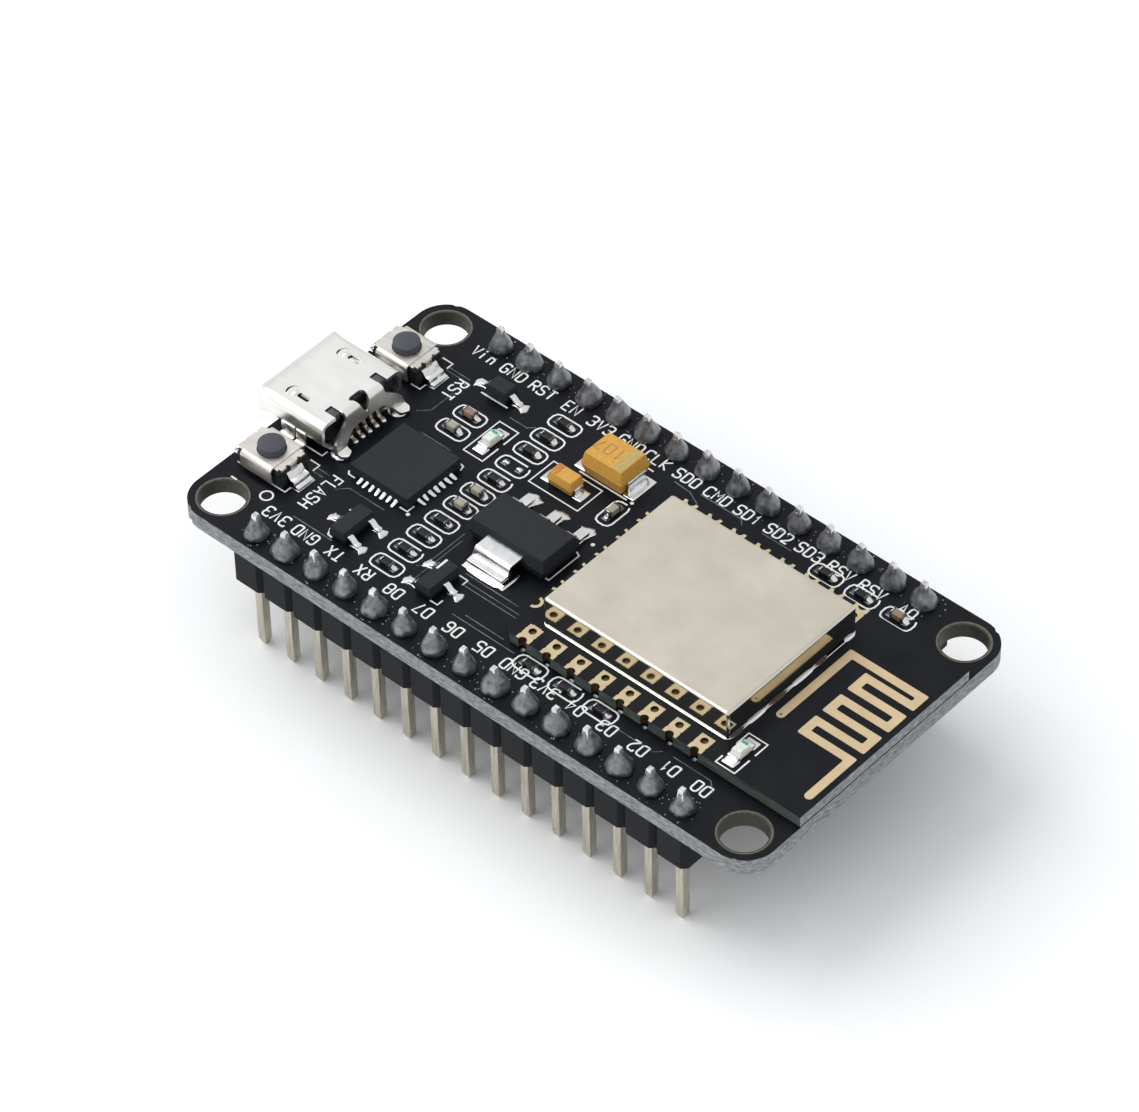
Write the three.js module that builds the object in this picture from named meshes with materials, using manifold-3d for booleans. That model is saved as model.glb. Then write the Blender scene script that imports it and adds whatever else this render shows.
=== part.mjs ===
// Microcontroller development board: a 30-pin carrier board with a micro-USB inlet, two push
// switches, a USB bridge chip, a voltage regulator and a shielded radio module with a printed aerial.
//
// Millimetres, +Z up. X runs along the board, from the USB end (-X) to the aerial end (+X). The pin
// tips stand on z = 0, and the origin is the bottom centre of the whole assembly.
// Inside the file, x and y are counted from the middle of the carrier board.
import * as THREE from 'three';
import { mergeVertices } from 'three/addons/utils/BufferGeometryUtils.js';
import Module from 'manifold-3d';

const wasm = await Module();
wasm.setup();

// ---- driving dimensions -------------------------------------------------------------------

const PITCH = 2.54;
const PINS_PER_ROW = 15;
const ROW_SPACING = 9 * PITCH;
const PIN_WIDTH = 0.64;
const PIN_BELOW_STRIP = 6.0;
const PIN_ABOVE_STRIP = 3.0;
const STRIP_HEIGHT = PITCH;

const BOARD_LENGTH = 48.2;
const BOARD_WIDTH = 10 * PITCH;
const BOARD_THICKNESS = 1.2;
const BOARD_CORNER = 2.3;
const MOUNT_HOLE_RADIUS = 1.55;
const MOUNT_HOLE_X = 21.8;
const MOUNT_HOLE_Y = 10.44;

const USB_LIP_OVERHANG = 0.9;
const USB_WIDTH = 7.4;
const USB_HEIGHT = 2.55;
const USB_WALL = 0.25;
const USB_REAR_X = -19.4;

const MODULE_LENGTH = 24;
const MODULE_WIDTH = 16;
const MODULE_THICKNESS = 0.8;
const MODULE_SOLDER_GAP = 0.1;
const CAN_LENGTH = 15;
const CAN_WIDTH = 12.1;
const CAN_HEIGHT = 2.3;

const SWITCH_LENGTH = 4.0;
const SWITCH_WIDTH = 3.0;
const SWITCH_CENTRE_X = -21.35;
const SWITCH_CENTRE_Y = 6.3;

// Clearance left between pieces that touch or nearly touch on the real board.
const GAP = 0.05;

// Heights that follow from the ones above.
const BOARD_BOTTOM = PIN_BELOW_STRIP + STRIP_HEIGHT;
const BOARD_TOP = BOARD_BOTTOM + BOARD_THICKNESS;
const PIN_LENGTH = BOARD_BOTTOM + PIN_ABOVE_STRIP;
const MODULE_BOTTOM = BOARD_TOP + MODULE_SOLDER_GAP;
const MODULE_TOP = MODULE_BOTTOM + MODULE_THICKNESS;
const MODULE_CENTRE_X = (BOARD_LENGTH - MODULE_LENGTH) / 2;
const MODULE_START_X = MODULE_CENTRE_X - MODULE_LENGTH / 2;

// The USB shell overhangs the board, so the assembly's middle is half the overhang towards -X.
const FRAME_SHIFT_X = USB_LIP_OVERHANG / 2;

// ---- materials ----------------------------------------------------------------------------

function finish(color, roughness, metalness) {
  return new THREE.MeshStandardMaterial({ color, roughness, metalness });
}

const BLACK_MASK = finish(0x22252a, 0.4, 0);
const BLACK_PLASTIC = finish(0x1b1c1e, 0.55, 0);
const DARK_EPOXY = finish(0x2a2c2f, 0.6, 0);
const BUTTON_GREY = finish(0x4a4a52, 0.6, 0);
const NICKEL = finish(0xd8d6cc, 0.28, 1);
const SPRING_STEEL = finish(0xb9bbbd, 0.35, 1);
const CAN_STEEL = finish(0xcbc5b6, 0.38, 1);
const TINNED = finish(0xd9dadb, 0.3, 1);
const TANTALUM_RESIN = finish(0xe2a94a, 0.5, 0);
const LED_LENS = finish(0xe9eee0, 0.3, 0);

// ---- shape helpers ------------------------------------------------------------------------

// A three.js geometry as a manifold solid.
function solid(geometry) {
  const plain = geometry.clone();
  plain.deleteAttribute('normal');
  plain.deleteAttribute('uv');
  const merged = mergeVertices(plain, 1e-5);
  return new wasm.Manifold(new wasm.Mesh({
    numProp: 3,
    vertProperties: new Float32Array(merged.attributes.position.array),
    triVerts: new Uint32Array(merged.index.array),
  }));
}

// A manifold solid as a three.js geometry.
function geometryOf(manifold) {
  const mesh = manifold.getMesh();
  const geometry = new THREE.BufferGeometry();
  geometry.setAttribute('position', new THREE.BufferAttribute(new Float32Array(mesh.vertProperties), 3));
  geometry.setIndex(new THREE.BufferAttribute(new Uint32Array(mesh.triVerts), 1));
  geometry.computeVertexNormals();
  return geometry;
}

// The first geometry with every geometry of the list cut away.
function cut(body, tools) {
  return geometryOf(tools.reduce((rest, tool) => rest.subtract(solid(tool)), solid(body)));
}

// All the geometries joined into one body.
function join(pieces) {
  return geometryOf(pieces.slice(1).reduce((whole, piece) => whole.add(solid(piece)), solid(pieces[0])));
}

// A box given by its length, width and height, its middle in plan and its underside.
function block(length, width, height, x, y, bottom) {
  const geometry = new THREE.BoxGeometry(length, width, height);
  geometry.translate(x, y, bottom + height / 2);
  return geometry;
}

// An upright round bar from one height to another.
function bar(radius, x, y, bottom, top, sides = 24) {
  const geometry = new THREE.CylinderGeometry(radius, radius, top - bottom, sides);
  geometry.rotateX(Math.PI / 2);
  geometry.translate(x, y, (bottom + top) / 2);
  return geometry;
}

// A turned piece on an upright axis: the profile is [radius, height] from the bottom of the axis up.
function turned(profile, x, y, bottom, sides = 24) {
  const geometry = new THREE.LatheGeometry(profile.map(([r, z]) => new THREE.Vector2(r, z)), sides);
  geometry.rotateX(Math.PI / 2);
  geometry.translate(x, y, bottom);
  return geometry;
}

// A flat outline made into a plate from one height to another.
function plate(shape, bottom, top, curveSegments = 8) {
  const geometry = new THREE.ExtrudeGeometry(shape, {
    depth: top - bottom,
    bevelEnabled: false,
    curveSegments,
  });
  geometry.translate(0, 0, bottom);
  return geometry;
}

// A rectangle about a middle point, with rounded corners.
function roundedRectangle(length, width, radius, x = 0, y = 0) {
  const left = x - length / 2;
  const right = x + length / 2;
  const near = y - width / 2;
  const far = y + width / 2;
  const shape = new THREE.Shape();
  shape.moveTo(left + radius, near);
  shape.lineTo(right - radius, near);
  shape.absarc(right - radius, near + radius, radius, -Math.PI / 2, 0);
  shape.lineTo(right, far - radius);
  shape.absarc(right - radius, far - radius, radius, 0, Math.PI / 2);
  shape.lineTo(left + radius, far);
  shape.absarc(left + radius, far - radius, radius, Math.PI / 2, Math.PI);
  shape.lineTo(left, near + radius);
  shape.absarc(left + radius, near + radius, radius, Math.PI, 1.5 * Math.PI);
  return shape;
}

// A moulded chip body: a block whose four upper and four lower edges draw in by the same draft.
function mouldedBody([length, width, height], draft, [x, y], bottom) {
  const cornerRadius = 0.05;
  const upright = 0.1 * height;
  const sloped = (height - upright) / 2;
  const shape = roundedRectangle(length - 2 * draft, width - 2 * draft, cornerRadius, x, y);
  const geometry = new THREE.ExtrudeGeometry(shape, {
    depth: upright,
    bevelThickness: sloped,
    bevelSize: draft,
    bevelSegments: 1,
    curveSegments: 1,
  });
  geometry.translate(0, 0, bottom + sloped);
  return geometry;
}

function rowPositions(count, pitch) {
  return Array.from({ length: count }, (_, i) => (i - (count - 1) / 2) * pitch);
}

const board = new THREE.Group();
board.position.x = FRAME_SHIFT_X;

function addPart(name, geometry, material) {
  const mesh = new THREE.Mesh(geometry, material);
  mesh.name = name;
  board.add(mesh);
}

// The two long sides of the board, with the names of the pieces that stand along them.
const SIDES = [{ side: 'front', sign: -1 }, { side: 'back', sign: 1 }];
const CORNERS = [[-1, -1], [1, -1], [-1, 1], [1, 1]];
const PIN_X = rowPositions(PINS_PER_ROW, PITCH);

// ---- carrier board ------------------------------------------------------------------------

// Glass-fibre laminate with rounded corners. Each corner has the half hole left where the board
// was snapped out of its panel, and a screw hole with a ring of bare laminate around it.
function carrierBoard() {
  const biteRadius = 0.33;
  const biteX = BOARD_LENGTH / 2 - 1.25;
  const biteY = BOARD_WIDTH / 2 + 0.02;
  const ringRadius = MOUNT_HOLE_RADIUS + 0.22;
  const ringDepth = 0.03;
  const pinHoleRadius = 0.5;
  const below = BOARD_BOTTOM - 1;
  const above = BOARD_TOP + 1;
  const tools = [];
  for (const [sx, sy] of CORNERS) {
    const x = sx * MOUNT_HOLE_X;
    const y = sy * MOUNT_HOLE_Y;
    tools.push(bar(MOUNT_HOLE_RADIUS, x, y, below, above, 32));
    tools.push(bar(ringRadius, x, y, BOARD_TOP - ringDepth, above, 32));
    tools.push(bar(ringRadius, x, y, below, BOARD_BOTTOM + ringDepth, 32));
    tools.push(bar(biteRadius, sx * biteX, sy * biteY, below, above, 12));
  }
  for (const { sign } of SIDES) {
    for (const x of PIN_X) {
      tools.push(bar(pinHoleRadius, x, sign * ROW_SPACING / 2, below, above, 12));
    }
  }
  const outline = roundedRectangle(BOARD_LENGTH, BOARD_WIDTH, BOARD_CORNER);
  return cut(plate(outline, BOARD_BOTTOM, BOARD_TOP), tools);
}

addPart('main_board', carrierBoard(), BLACK_MASK);

// ---- pin headers --------------------------------------------------------------------------

// One moulded strip: fifteen joined cells with V notches between them and a hole for each pin.
function headerStrip(rowY) {
  const half = PITCH / 2;
  const notch = 0.35;
  const hole = PIN_WIDTH + 2 * GAP;
  const shape = new THREE.Shape();
  const along = (x, sx, sy) => shape.lineTo(x + sx * (half - notch), rowY + sy * half);
  const notchPoint = (x, sx, sy) => shape.lineTo(x + sx * half, rowY + sy * (half - notch));
  shape.moveTo(PIN_X[0] - half, rowY - half + notch);
  for (const x of PIN_X) {
    along(x, -1, -1);
    along(x, 1, -1);
    notchPoint(x, 1, -1);
  }
  for (const x of PIN_X.slice().reverse()) {
    notchPoint(x, 1, 1);
    along(x, 1, 1);
    along(x, -1, 1);
  }
  notchPoint(PIN_X[0], -1, 1);
  const holes = PIN_X.map((x) => block(hole, hole, 2 * STRIP_HEIGHT, x, rowY, PIN_BELOW_STRIP - 1));
  return cut(plate(shape, PIN_BELOW_STRIP, BOARD_BOTTOM), holes);
}

// One square pin, with a short taper at each end.
function headerPin(x, y) {
  const flat = PIN_WIDTH / Math.SQRT2;
  const tip = flat * 0.55;
  const taper = 0.45;
  const profile = [
    [0, 0],
    [tip, 0],
    [flat, taper],
    [flat, PIN_LENGTH - taper],
    [tip, PIN_LENGTH],
    [0, PIN_LENGTH],
  ];
  const geometry = turned(profile, 0, 0, 0, 4);
  geometry.rotateZ(Math.PI / 4);
  geometry.translate(x, y, 0);
  return geometry;
}

for (const { side, sign } of SIDES) {
  const rowY = sign * ROW_SPACING / 2;
  addPart(`header_strip_${side}`, headerStrip(rowY), BLACK_PLASTIC);
  PIN_X.forEach((x, i) => {
    addPart(`header_pin_${side}_${String(i + 1).padStart(2, '0')}`, headerPin(x, rowY), NICKEL);
  });
}

// ---- micro-USB inlet ----------------------------------------------------------------------

const USB_MOUTH_X = -BOARD_LENGTH / 2 - USB_LIP_OVERHANG;
const USB_FLOOR = BOARD_TOP + GAP;

// The inlet's cross-section: wide at the top, with both lower corners slanted inwards. The shape
// lies in the plane across X: its own x is the board's y, its own y is the height above the floor.
function usbSection(inset) {
  const half = USB_WIDTH / 2 - inset;
  const low = inset;
  const high = USB_HEIGHT - inset;
  const slantHeight = 1.0;
  const slantWidth = 0.85;
  const radius = 0.5 - inset;
  const shape = new THREE.Shape();
  shape.moveTo(-half + slantWidth, low);
  shape.lineTo(half - slantWidth, low);
  shape.lineTo(half, low + slantHeight);
  shape.lineTo(half, high - radius);
  shape.absarc(half - radius, high - radius, radius, 0, Math.PI / 2);
  shape.lineTo(-half + radius, high);
  shape.absarc(-half + radius, high - radius, radius, Math.PI / 2, Math.PI);
  shape.lineTo(-half, low + slantHeight);
  return shape;
}

// A bar of the inlet's section along X from the mouth to an end, flared outwards at the mouth.
function usbBar(inset, endX, flare, lead = 0) {
  const flareLength = 0.4;
  const start = USB_MOUTH_X - lead;
  const geometry = new THREE.ExtrudeGeometry(usbSection(inset), {
    depth: endX - start,
    bevelThickness: flareLength,
    bevelSize: -flare,
    bevelOffset: flare,
    bevelSegments: 2,
    curveSegments: 4,
  });
  geometry.rotateX(Math.PI / 2);
  geometry.rotateZ(Math.PI / 2);
  geometry.translate(start + flareLength, 0, USB_FLOOR);
  return geometry;
}

// The drawn steel shell, open at the mouth, with two spring slots and three rear notches in its
// roof, and a tail that bends down over the contacts onto two rounded solder feet.
function usbShell() {
  const flare = 0.3;
  const spare = 2;
  const cutter = block(2 * spare, 12, 8, USB_REAR_X + spare, 0, USB_FLOOR - 2);
  const tools = [usbBar(USB_WALL, USB_REAR_X + spare, flare, 0.001), cutter];
  const throughRoof = (length, width, x, y) => {
    tools.push(block(length, width, 2, x, y, USB_FLOOR + USB_HEIGHT - 1));
  };
  for (const sign of [-1, 1]) {
    throughRoof(1.5, 0.5, -22.65, sign * 2.35);
    throughRoof(1.8, 0.65, USB_REAR_X, sign * 2.08);
  }
  throughRoof(1.0, 1.3, USB_REAR_X, 0);
  return cut(usbBar(0, USB_REAR_X + spare, flare), tools);
}

// The tail plate behind the shell: it slopes down from the roof and ends in two solder feet.
function usbTail() {
  const top = USB_HEIGHT - USB_WALL - 2 * GAP;
  const half = [[0.9, top], [3.0, 0.85], [3.0, GAP], [2.0, GAP], [1.5, 0.75]];
  const outline = [...half, ...half.map(([y, z]) => [-y, z]).reverse()];
  const shape = new THREE.Shape(outline.map(([y, z]) => new THREE.Vector2(y, z)));
  const geometry = new THREE.ExtrudeGeometry(shape, { depth: USB_WALL, bevelEnabled: false });
  geometry.rotateX(Math.PI / 2);
  geometry.rotateZ(Math.PI / 2);
  geometry.translate(USB_REAR_X + GAP, 0, USB_FLOOR);
  return geometry;
}

// The black moulding that holds the contacts: a block at the back of the shell and the tongue.
function usbInsert() {
  const clearance = USB_WALL + GAP;
  const backLength = 1.3;
  const back = new THREE.ExtrudeGeometry(usbSection(clearance), {
    depth: backLength,
    bevelEnabled: false,
    curveSegments: 3,
  });
  back.rotateX(Math.PI / 2);
  back.rotateZ(Math.PI / 2);
  back.translate(USB_REAR_X - backLength - GAP, 0, USB_FLOOR);
  const tongueLength = 3.4;
  const tongueX = USB_REAR_X - backLength - tongueLength / 2 + 2 * GAP;
  const tongue = block(tongueLength, 3.75, 0.6, tongueX, 0, USB_FLOOR + 1.35);
  return join([back, tongue]);
}

addPart('usb_shell', usbShell(), NICKEL);
addPart('usb_shell_tail', usbTail(), NICKEL);
addPart('usb_insulator', usbInsert(), BLACK_PLASTIC);

// ---- push switches ------------------------------------------------------------------------

const SWITCH_FLOOR = 0.45;
const SWITCH_BASE_TOP = 1.28;
const COVER_BOTTOM = SWITCH_BASE_TOP + GAP;
const COVER_TOP = COVER_BOTTOM + 0.17;
const BUTTON_TOP = 2.08;
const BUTTON_RADIUS = 0.92;
const DOME_HEIGHT = 0.38;
const DOME_RADIUS = 1.05;
const CUP_RADIUS = 1.12;

// The moulded base: an open cup that holds the snap dome and guides the button's flange.
function switchBase(y) {
  const length = SWITCH_LENGTH - 0.3;
  const width = SWITCH_WIDTH - 0.5;
  const body = block(length, width, SWITCH_BASE_TOP - GAP, SWITCH_CENTRE_X, y, BOARD_TOP + GAP);
  return cut(body, [bar(CUP_RADIUS, SWITCH_CENTRE_X, y, BOARD_TOP + SWITCH_FLOOR, BOARD_TOP + 3)]);
}

// The folded steel cover: a plate with a round hole and a skirt down each long side.
function switchCover(y) {
  const x = SWITCH_CENTRE_X;
  const skirtLength = SWITCH_LENGTH - 1.2;
  const skirtThickness = 0.15;
  const skirtBottom = 0.3;
  const bridgeWidth = 0.4;
  const plateShape = roundedRectangle(SWITCH_LENGTH, SWITCH_WIDTH - 0.5, 0.1, x, y);
  const pieces = [plate(plateShape, BOARD_TOP + COVER_BOTTOM, BOARD_TOP + COVER_TOP)];
  for (const sign of [-1, 1]) {
    const addSide = (width, bottom) => {
      const sideY = y + sign * (SWITCH_WIDTH - width) / 2;
      pieces.push(block(skirtLength, width, COVER_TOP - bottom, x, sideY, BOARD_TOP + bottom));
    };
    addSide(skirtThickness, skirtBottom);
    addSide(bridgeWidth, COVER_BOTTOM);
  }
  const opening = bar(BUTTON_RADIUS + GAP, x, y, BOARD_TOP, BOARD_TOP + 4);
  return cut(join(pieces), [opening]);
}

// The button: a flange kept under the cover, and the round head that stands out of it.
function switchButton(y) {
  const flangeRadius = CUP_RADIUS - 0.08;
  const flangeBottom = SWITCH_FLOOR + DOME_HEIGHT + GAP;
  const flangeTop = COVER_BOTTOM - GAP;
  const edge = 0.08;
  const profile = [
    [0, flangeBottom],
    [flangeRadius, flangeBottom],
    [flangeRadius, flangeTop],
    [BUTTON_RADIUS, flangeTop],
    [BUTTON_RADIUS, BUTTON_TOP - edge],
    [BUTTON_RADIUS - edge, BUTTON_TOP],
    [0, BUTTON_TOP],
  ];
  return turned(profile, SWITCH_CENTRE_X, y, BOARD_TOP, 32);
}

// The snap dome: a thin round shell of spring steel that the button presses flat.
function snapDome(y) {
  const thickness = 0.06;
  const steps = 4;
  const lower = [];
  for (let i = 0; i <= steps; i += 1) {
    const share = i / steps;
    const height = (DOME_HEIGHT - thickness) * Math.cos(share * Math.PI / 2);
    lower.push([DOME_RADIUS * share, height]);
  }
  const upper = lower.map(([radius, height]) => [radius, height + thickness]).reverse();
  return turned([...lower, ...upper], SWITCH_CENTRE_X, y, BOARD_TOP + SWITCH_FLOOR + 0.01, 20);
}

for (const { name, sign } of [{ name: 'reset', sign: 1 }, { name: 'flash', sign: -1 }]) {
  const y = sign * SWITCH_CENTRE_Y;
  addPart(`${name}_switch_base`, switchBase(y), BLACK_PLASTIC);
  addPart(`${name}_switch_cover`, switchCover(y), CAN_STEEL);
  addPart(`${name}_button`, switchButton(y), BUTTON_GREY);
  addPart(`${name}_snap_dome`, snapDome(y), SPRING_STEEL);
}

// ---- chips and power parts on the carrier board ---------------------------------------------

const REGULATOR_SIZE = [6.5, 3.5, 1.6];
const REGULATOR_PLACE = [-4.4, -1.15];
const TRANSISTOR_SIZE = [1.35, 2.9, 0.95];
const LED_SIZE = [0.85, 1.6, 0.6];
const LED_DRAFT = 0.06;
const CHIP_SIZE = [5, 5, 0.85];

// The regulator's heat tab: it leaves the body half way up, steps down and lies on the board.
function regulatorTab([x, y]) {
  const width = 3.0;
  const thickness = 0.28;
  const rootHeight = 0.72;
  const footHeight = 0.06;
  const under = [[GAP, rootHeight], [0.47, rootHeight], [0.97, footHeight], [1.75, footHeight]];
  const over = [[1.75, footHeight], [0.85, footHeight], [0.35, rootHeight], [GAP, rootHeight]];
  const outline = [...under, ...over.map(([out, height]) => [out, height + thickness])];
  const edgeY = y - REGULATOR_SIZE[1] / 2;
  const shape = new THREE.Shape(outline.map(([out, height]) => new THREE.Vector2(edgeY - out, height)));
  const geometry = new THREE.ExtrudeGeometry(shape, { depth: width, bevelEnabled: false });
  geometry.rotateX(Math.PI / 2);
  geometry.rotateZ(Math.PI / 2);
  geometry.translate(x - width / 2, 0, BOARD_TOP);
  return geometry;
}

// A part moulded over its leads, which hold it just clear of the board.
function leadedPart(name, size, draft, place) {
  addPart(name, mouldedBody(size, draft, place, BOARD_TOP + 0.08), DARK_EPOXY);
}

leadedPart('regulator_body', REGULATOR_SIZE, 0.2, REGULATOR_PLACE);
leadedPart('input_diode', [1.75, 1.3, 0.95], 0.08, [-14.65, 8.05]);
leadedPart('transistor_left', TRANSISTOR_SIZE, 0.08, [-13.5, -7.2]);
leadedPart('transistor_right', TRANSISTOR_SIZE, 0.08, [-6.1, -7.25]);
addPart('regulator_tab', regulatorTab(REGULATOR_PLACE), TINNED);
addPart('usb_serial_chip', block(...CHIP_SIZE, -14.6, -1.08, BOARD_TOP + GAP), DARK_EPOXY);

// A part whose end plates lie flat on the board.
function flatPart(name, size, draft, place, material) {
  addPart(name, mouldedBody(size, draft, place, BOARD_TOP + GAP), material);
}

flatPart('tantalum_capacitor_large', [3.5, 2.8, 1.85], 0.22, [-4.3, 7.45], TANTALUM_RESIN);
flatPart('tantalum_capacitor_small', [2.1, 1.3, 1.1], 0.12, [-5.97, 4.55], TANTALUM_RESIN);
flatPart('power_led', LED_SIZE, LED_DRAFT, [-12.3, 4.45], LED_LENS);

// ---- radio module -------------------------------------------------------------------------

const PAD_PITCH = 2;
const PADS_PER_SIDE = 8;
const FIRST_PAD_X = MODULE_START_X + 1.6;
const EDGE_HOLE_RADIUS = 0.3;

// The module's own laminate: half holes along three edges, a plated hole inside each side pad,
// and one clipped corner.
function moduleBoard() {
  const below = MODULE_BOTTOM - 1;
  const above = MODULE_TOP + 1;
  const clip = 0.55;
  const edgeY = MODULE_WIDTH / 2;
  const tools = [];
  for (const { sign } of SIDES) {
    for (let i = 0; i < PADS_PER_SIDE; i += 1) {
      const x = FIRST_PAD_X + i * PAD_PITCH;
      tools.push(bar(EDGE_HOLE_RADIUS, x, sign * edgeY, below, above, 12));
      tools.push(bar(EDGE_HOLE_RADIUS, x, sign * (edgeY - 0.85), below, above, 12));
    }
  }
  for (const y of rowPositions(6, PAD_PITCH)) {
    tools.push(bar(EDGE_HOLE_RADIUS, MODULE_START_X, y, below, above, 12));
  }
  const shape = new THREE.Shape();
  shape.moveTo(MODULE_START_X + clip, -edgeY);
  shape.lineTo(MODULE_START_X + MODULE_LENGTH, -edgeY);
  shape.lineTo(MODULE_START_X + MODULE_LENGTH, edgeY);
  shape.lineTo(MODULE_START_X, edgeY);
  shape.lineTo(MODULE_START_X, -edgeY + clip);
  return cut(plate(shape, MODULE_BOTTOM, MODULE_TOP), tools);
}

const CAN_CENTRE_X = MODULE_START_X + 1.65 + CAN_LENGTH / 2;

// The drawn shielding can: an open box, mouth down, with a slot at the foot of its end wall.
function shieldCan() {
  const wall = 0.2;
  const radius = 0.3;
  const bottom = MODULE_TOP + GAP;
  const top = MODULE_TOP + CAN_HEIGHT;
  const shell = (inset, from, to) => {
    const length = CAN_LENGTH - 2 * inset;
    const width = CAN_WIDTH - 2 * inset;
    return plate(roundedRectangle(length, width, radius - inset / 2, CAN_CENTRE_X, 0), from, to, 3);
  };
  const slot = block(1, 1.9, 0.3, CAN_CENTRE_X + CAN_LENGTH / 2, 4.1, bottom - 0.1);
  return cut(shell(0, bottom, top), [shell(wall, bottom - 1, top - wall), slot]);
}

const CHIP_FLOOR = MODULE_TOP + GAP;
const PROCESSOR_X = CAN_CENTRE_X + 2.6;
const MEMORY_PLACE = [CAN_CENTRE_X - 3.6, 1.2];

addPart('module_board', moduleBoard(), BLACK_MASK);
addPart('shield_can', shieldCan(), CAN_STEEL);
addPart('processor_chip', block(...CHIP_SIZE, PROCESSOR_X, -0.6, CHIP_FLOOR), DARK_EPOXY);
addPart('crystal', block(3.2, 2.5, 0.7, PROCESSOR_X, 4.0, CHIP_FLOOR), CAN_STEEL);
addPart('flash_memory_chip', mouldedBody([5.2, 5.2, 1.75], 0.15, MEMORY_PLACE, CHIP_FLOOR), DARK_EPOXY);
addPart('module_led', mouldedBody(LED_SIZE, LED_DRAFT, [18.0, -6.3], CHIP_FLOOR), LED_LENS);

export default board;
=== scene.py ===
# A 30-pin microcontroller development board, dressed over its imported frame.
#
# Shapes are drawn in millimetres from the middle of the carrier board, with heights counted from the
# pin tips. Each finished piece is then carried into the frame in metres.
import math
import random

import bmesh
import bpy
from mathutils import Matrix, Vector, noise


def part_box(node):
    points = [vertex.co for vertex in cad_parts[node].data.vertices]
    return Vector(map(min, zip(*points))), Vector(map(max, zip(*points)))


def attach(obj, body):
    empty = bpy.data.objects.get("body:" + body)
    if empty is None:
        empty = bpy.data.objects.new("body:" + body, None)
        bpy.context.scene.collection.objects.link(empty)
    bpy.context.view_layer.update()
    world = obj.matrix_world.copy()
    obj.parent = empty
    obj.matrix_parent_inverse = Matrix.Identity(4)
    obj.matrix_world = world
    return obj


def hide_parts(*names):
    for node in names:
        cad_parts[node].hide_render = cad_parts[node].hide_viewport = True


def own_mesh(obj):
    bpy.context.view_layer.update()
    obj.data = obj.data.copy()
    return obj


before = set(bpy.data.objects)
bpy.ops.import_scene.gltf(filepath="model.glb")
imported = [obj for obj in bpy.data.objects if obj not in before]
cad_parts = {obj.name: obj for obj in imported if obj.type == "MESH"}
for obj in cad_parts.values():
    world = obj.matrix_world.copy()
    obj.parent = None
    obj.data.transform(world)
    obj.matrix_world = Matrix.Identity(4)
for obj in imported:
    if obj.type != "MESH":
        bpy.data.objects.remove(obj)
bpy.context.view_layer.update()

# ---- camera, floor and studio light -------------------------------------------------------------
# A long lens looks down across the near long side and the aerial end. The board stands on its pins on
# a white sweep, under a large soft light behind it on the left and a weaker fill in front.

MM = 0.001
BOARD_LOW, BOARD_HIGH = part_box("main_board")
BOARD_MIDDLE = (BOARD_LOW + BOARD_HIGH) / 2
TO_FRAME = Matrix.Translation((BOARD_MIDDLE.x, BOARD_MIDDLE.y, 0)) @ Matrix.Scale(MM, 4)
scene = bpy.context.scene


def colour(hex_code):
    """A linear colour from an sRGB hex value."""
    channels = [int(hex_code[i:i + 2], 16) / 255 for i in (1, 3, 5)]
    return [c / 12.92 if c <= 0.04045 else ((c + 0.055) / 1.055) ** 2.4 for c in channels] + [1]


def add_node(tree, kind, inputs=None, **settings):
    """Adds one shader node with its settings. An input is a plain value or another node's output."""
    node = tree.nodes.new("ShaderNode" + kind)
    for name, value in settings.items():
        setattr(node, name, value)
    for name, value in (inputs or {}).items():
        if isinstance(value, bpy.types.NodeSocket):
            tree.links.new(value, node.inputs[name])
        else:
            node.inputs[name].default_value = value
    return node


def start_material(name, **constants):
    """A material with its shader's constants set, and the point that its patterns read."""
    material = bpy.data.materials.new(name)
    material.use_nodes = True
    tree = material.node_tree
    shader = tree.nodes["Principled BSDF"]
    for socket, value in constants.items():
        shader.inputs[socket.replace("_", " ")].default_value = value
    point = add_node(tree, "TexCoord").outputs["Object"]
    return material, tree, shader, point


def mottled(name, dark, light, grain, rough, relief=0.0, stretch=(1, 1, 1), detail=4, **constants):
    """A surface whose colour, roughness and height all wander together over grains of a real size.

    grain and relief are millimetres, rough is the lowest and highest roughness.
    """
    material, tree, shader, point = start_material(name, **constants)
    placed = add_node(tree, "Mapping", {"Vector": point, "Scale": stretch})
    cloud = add_node(tree, "TexNoise", {
        "Vector": placed.outputs["Vector"], "Scale": 1 / (grain * MM), "Detail": detail, "Roughness": 0.6,
    })
    ramp = add_node(tree, "ValToRGB", {"Fac": cloud.outputs["Fac"]})
    for stop, at, shade in zip(ramp.color_ramp.elements, (0.3, 0.7), (dark, light)):
        stop.position = at
        stop.color = colour(shade)
    tree.links.new(ramp.outputs["Color"], shader.inputs["Base Color"])
    spread = add_node(tree, "MapRange", {
        "Value": cloud.outputs["Fac"], "From Min": 0.3, "From Max": 0.7,
        "To Min": rough[0], "To Max": rough[1],
    })
    tree.links.new(spread.outputs["Result"], shader.inputs["Roughness"])
    if relief:
        height = {"Height": cloud.outputs["Fac"], "Strength": 1, "Distance": relief * MM}
        bump = add_node(tree, "Bump", height)
        tree.links.new(bump.outputs["Normal"], shader.inputs["Normal"])
    return material


CAMERA_AZIMUTH = math.radians(42.76)
CAMERA_ELEVATION = math.radians(45.15)
CAMERA_ROLL = math.radians(-1.28)
CAMERA_DISTANCE = 340.1
CAMERA_TARGET = Vector((-2.77, 1.31, 8.0))
LENS_MM = 170

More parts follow.
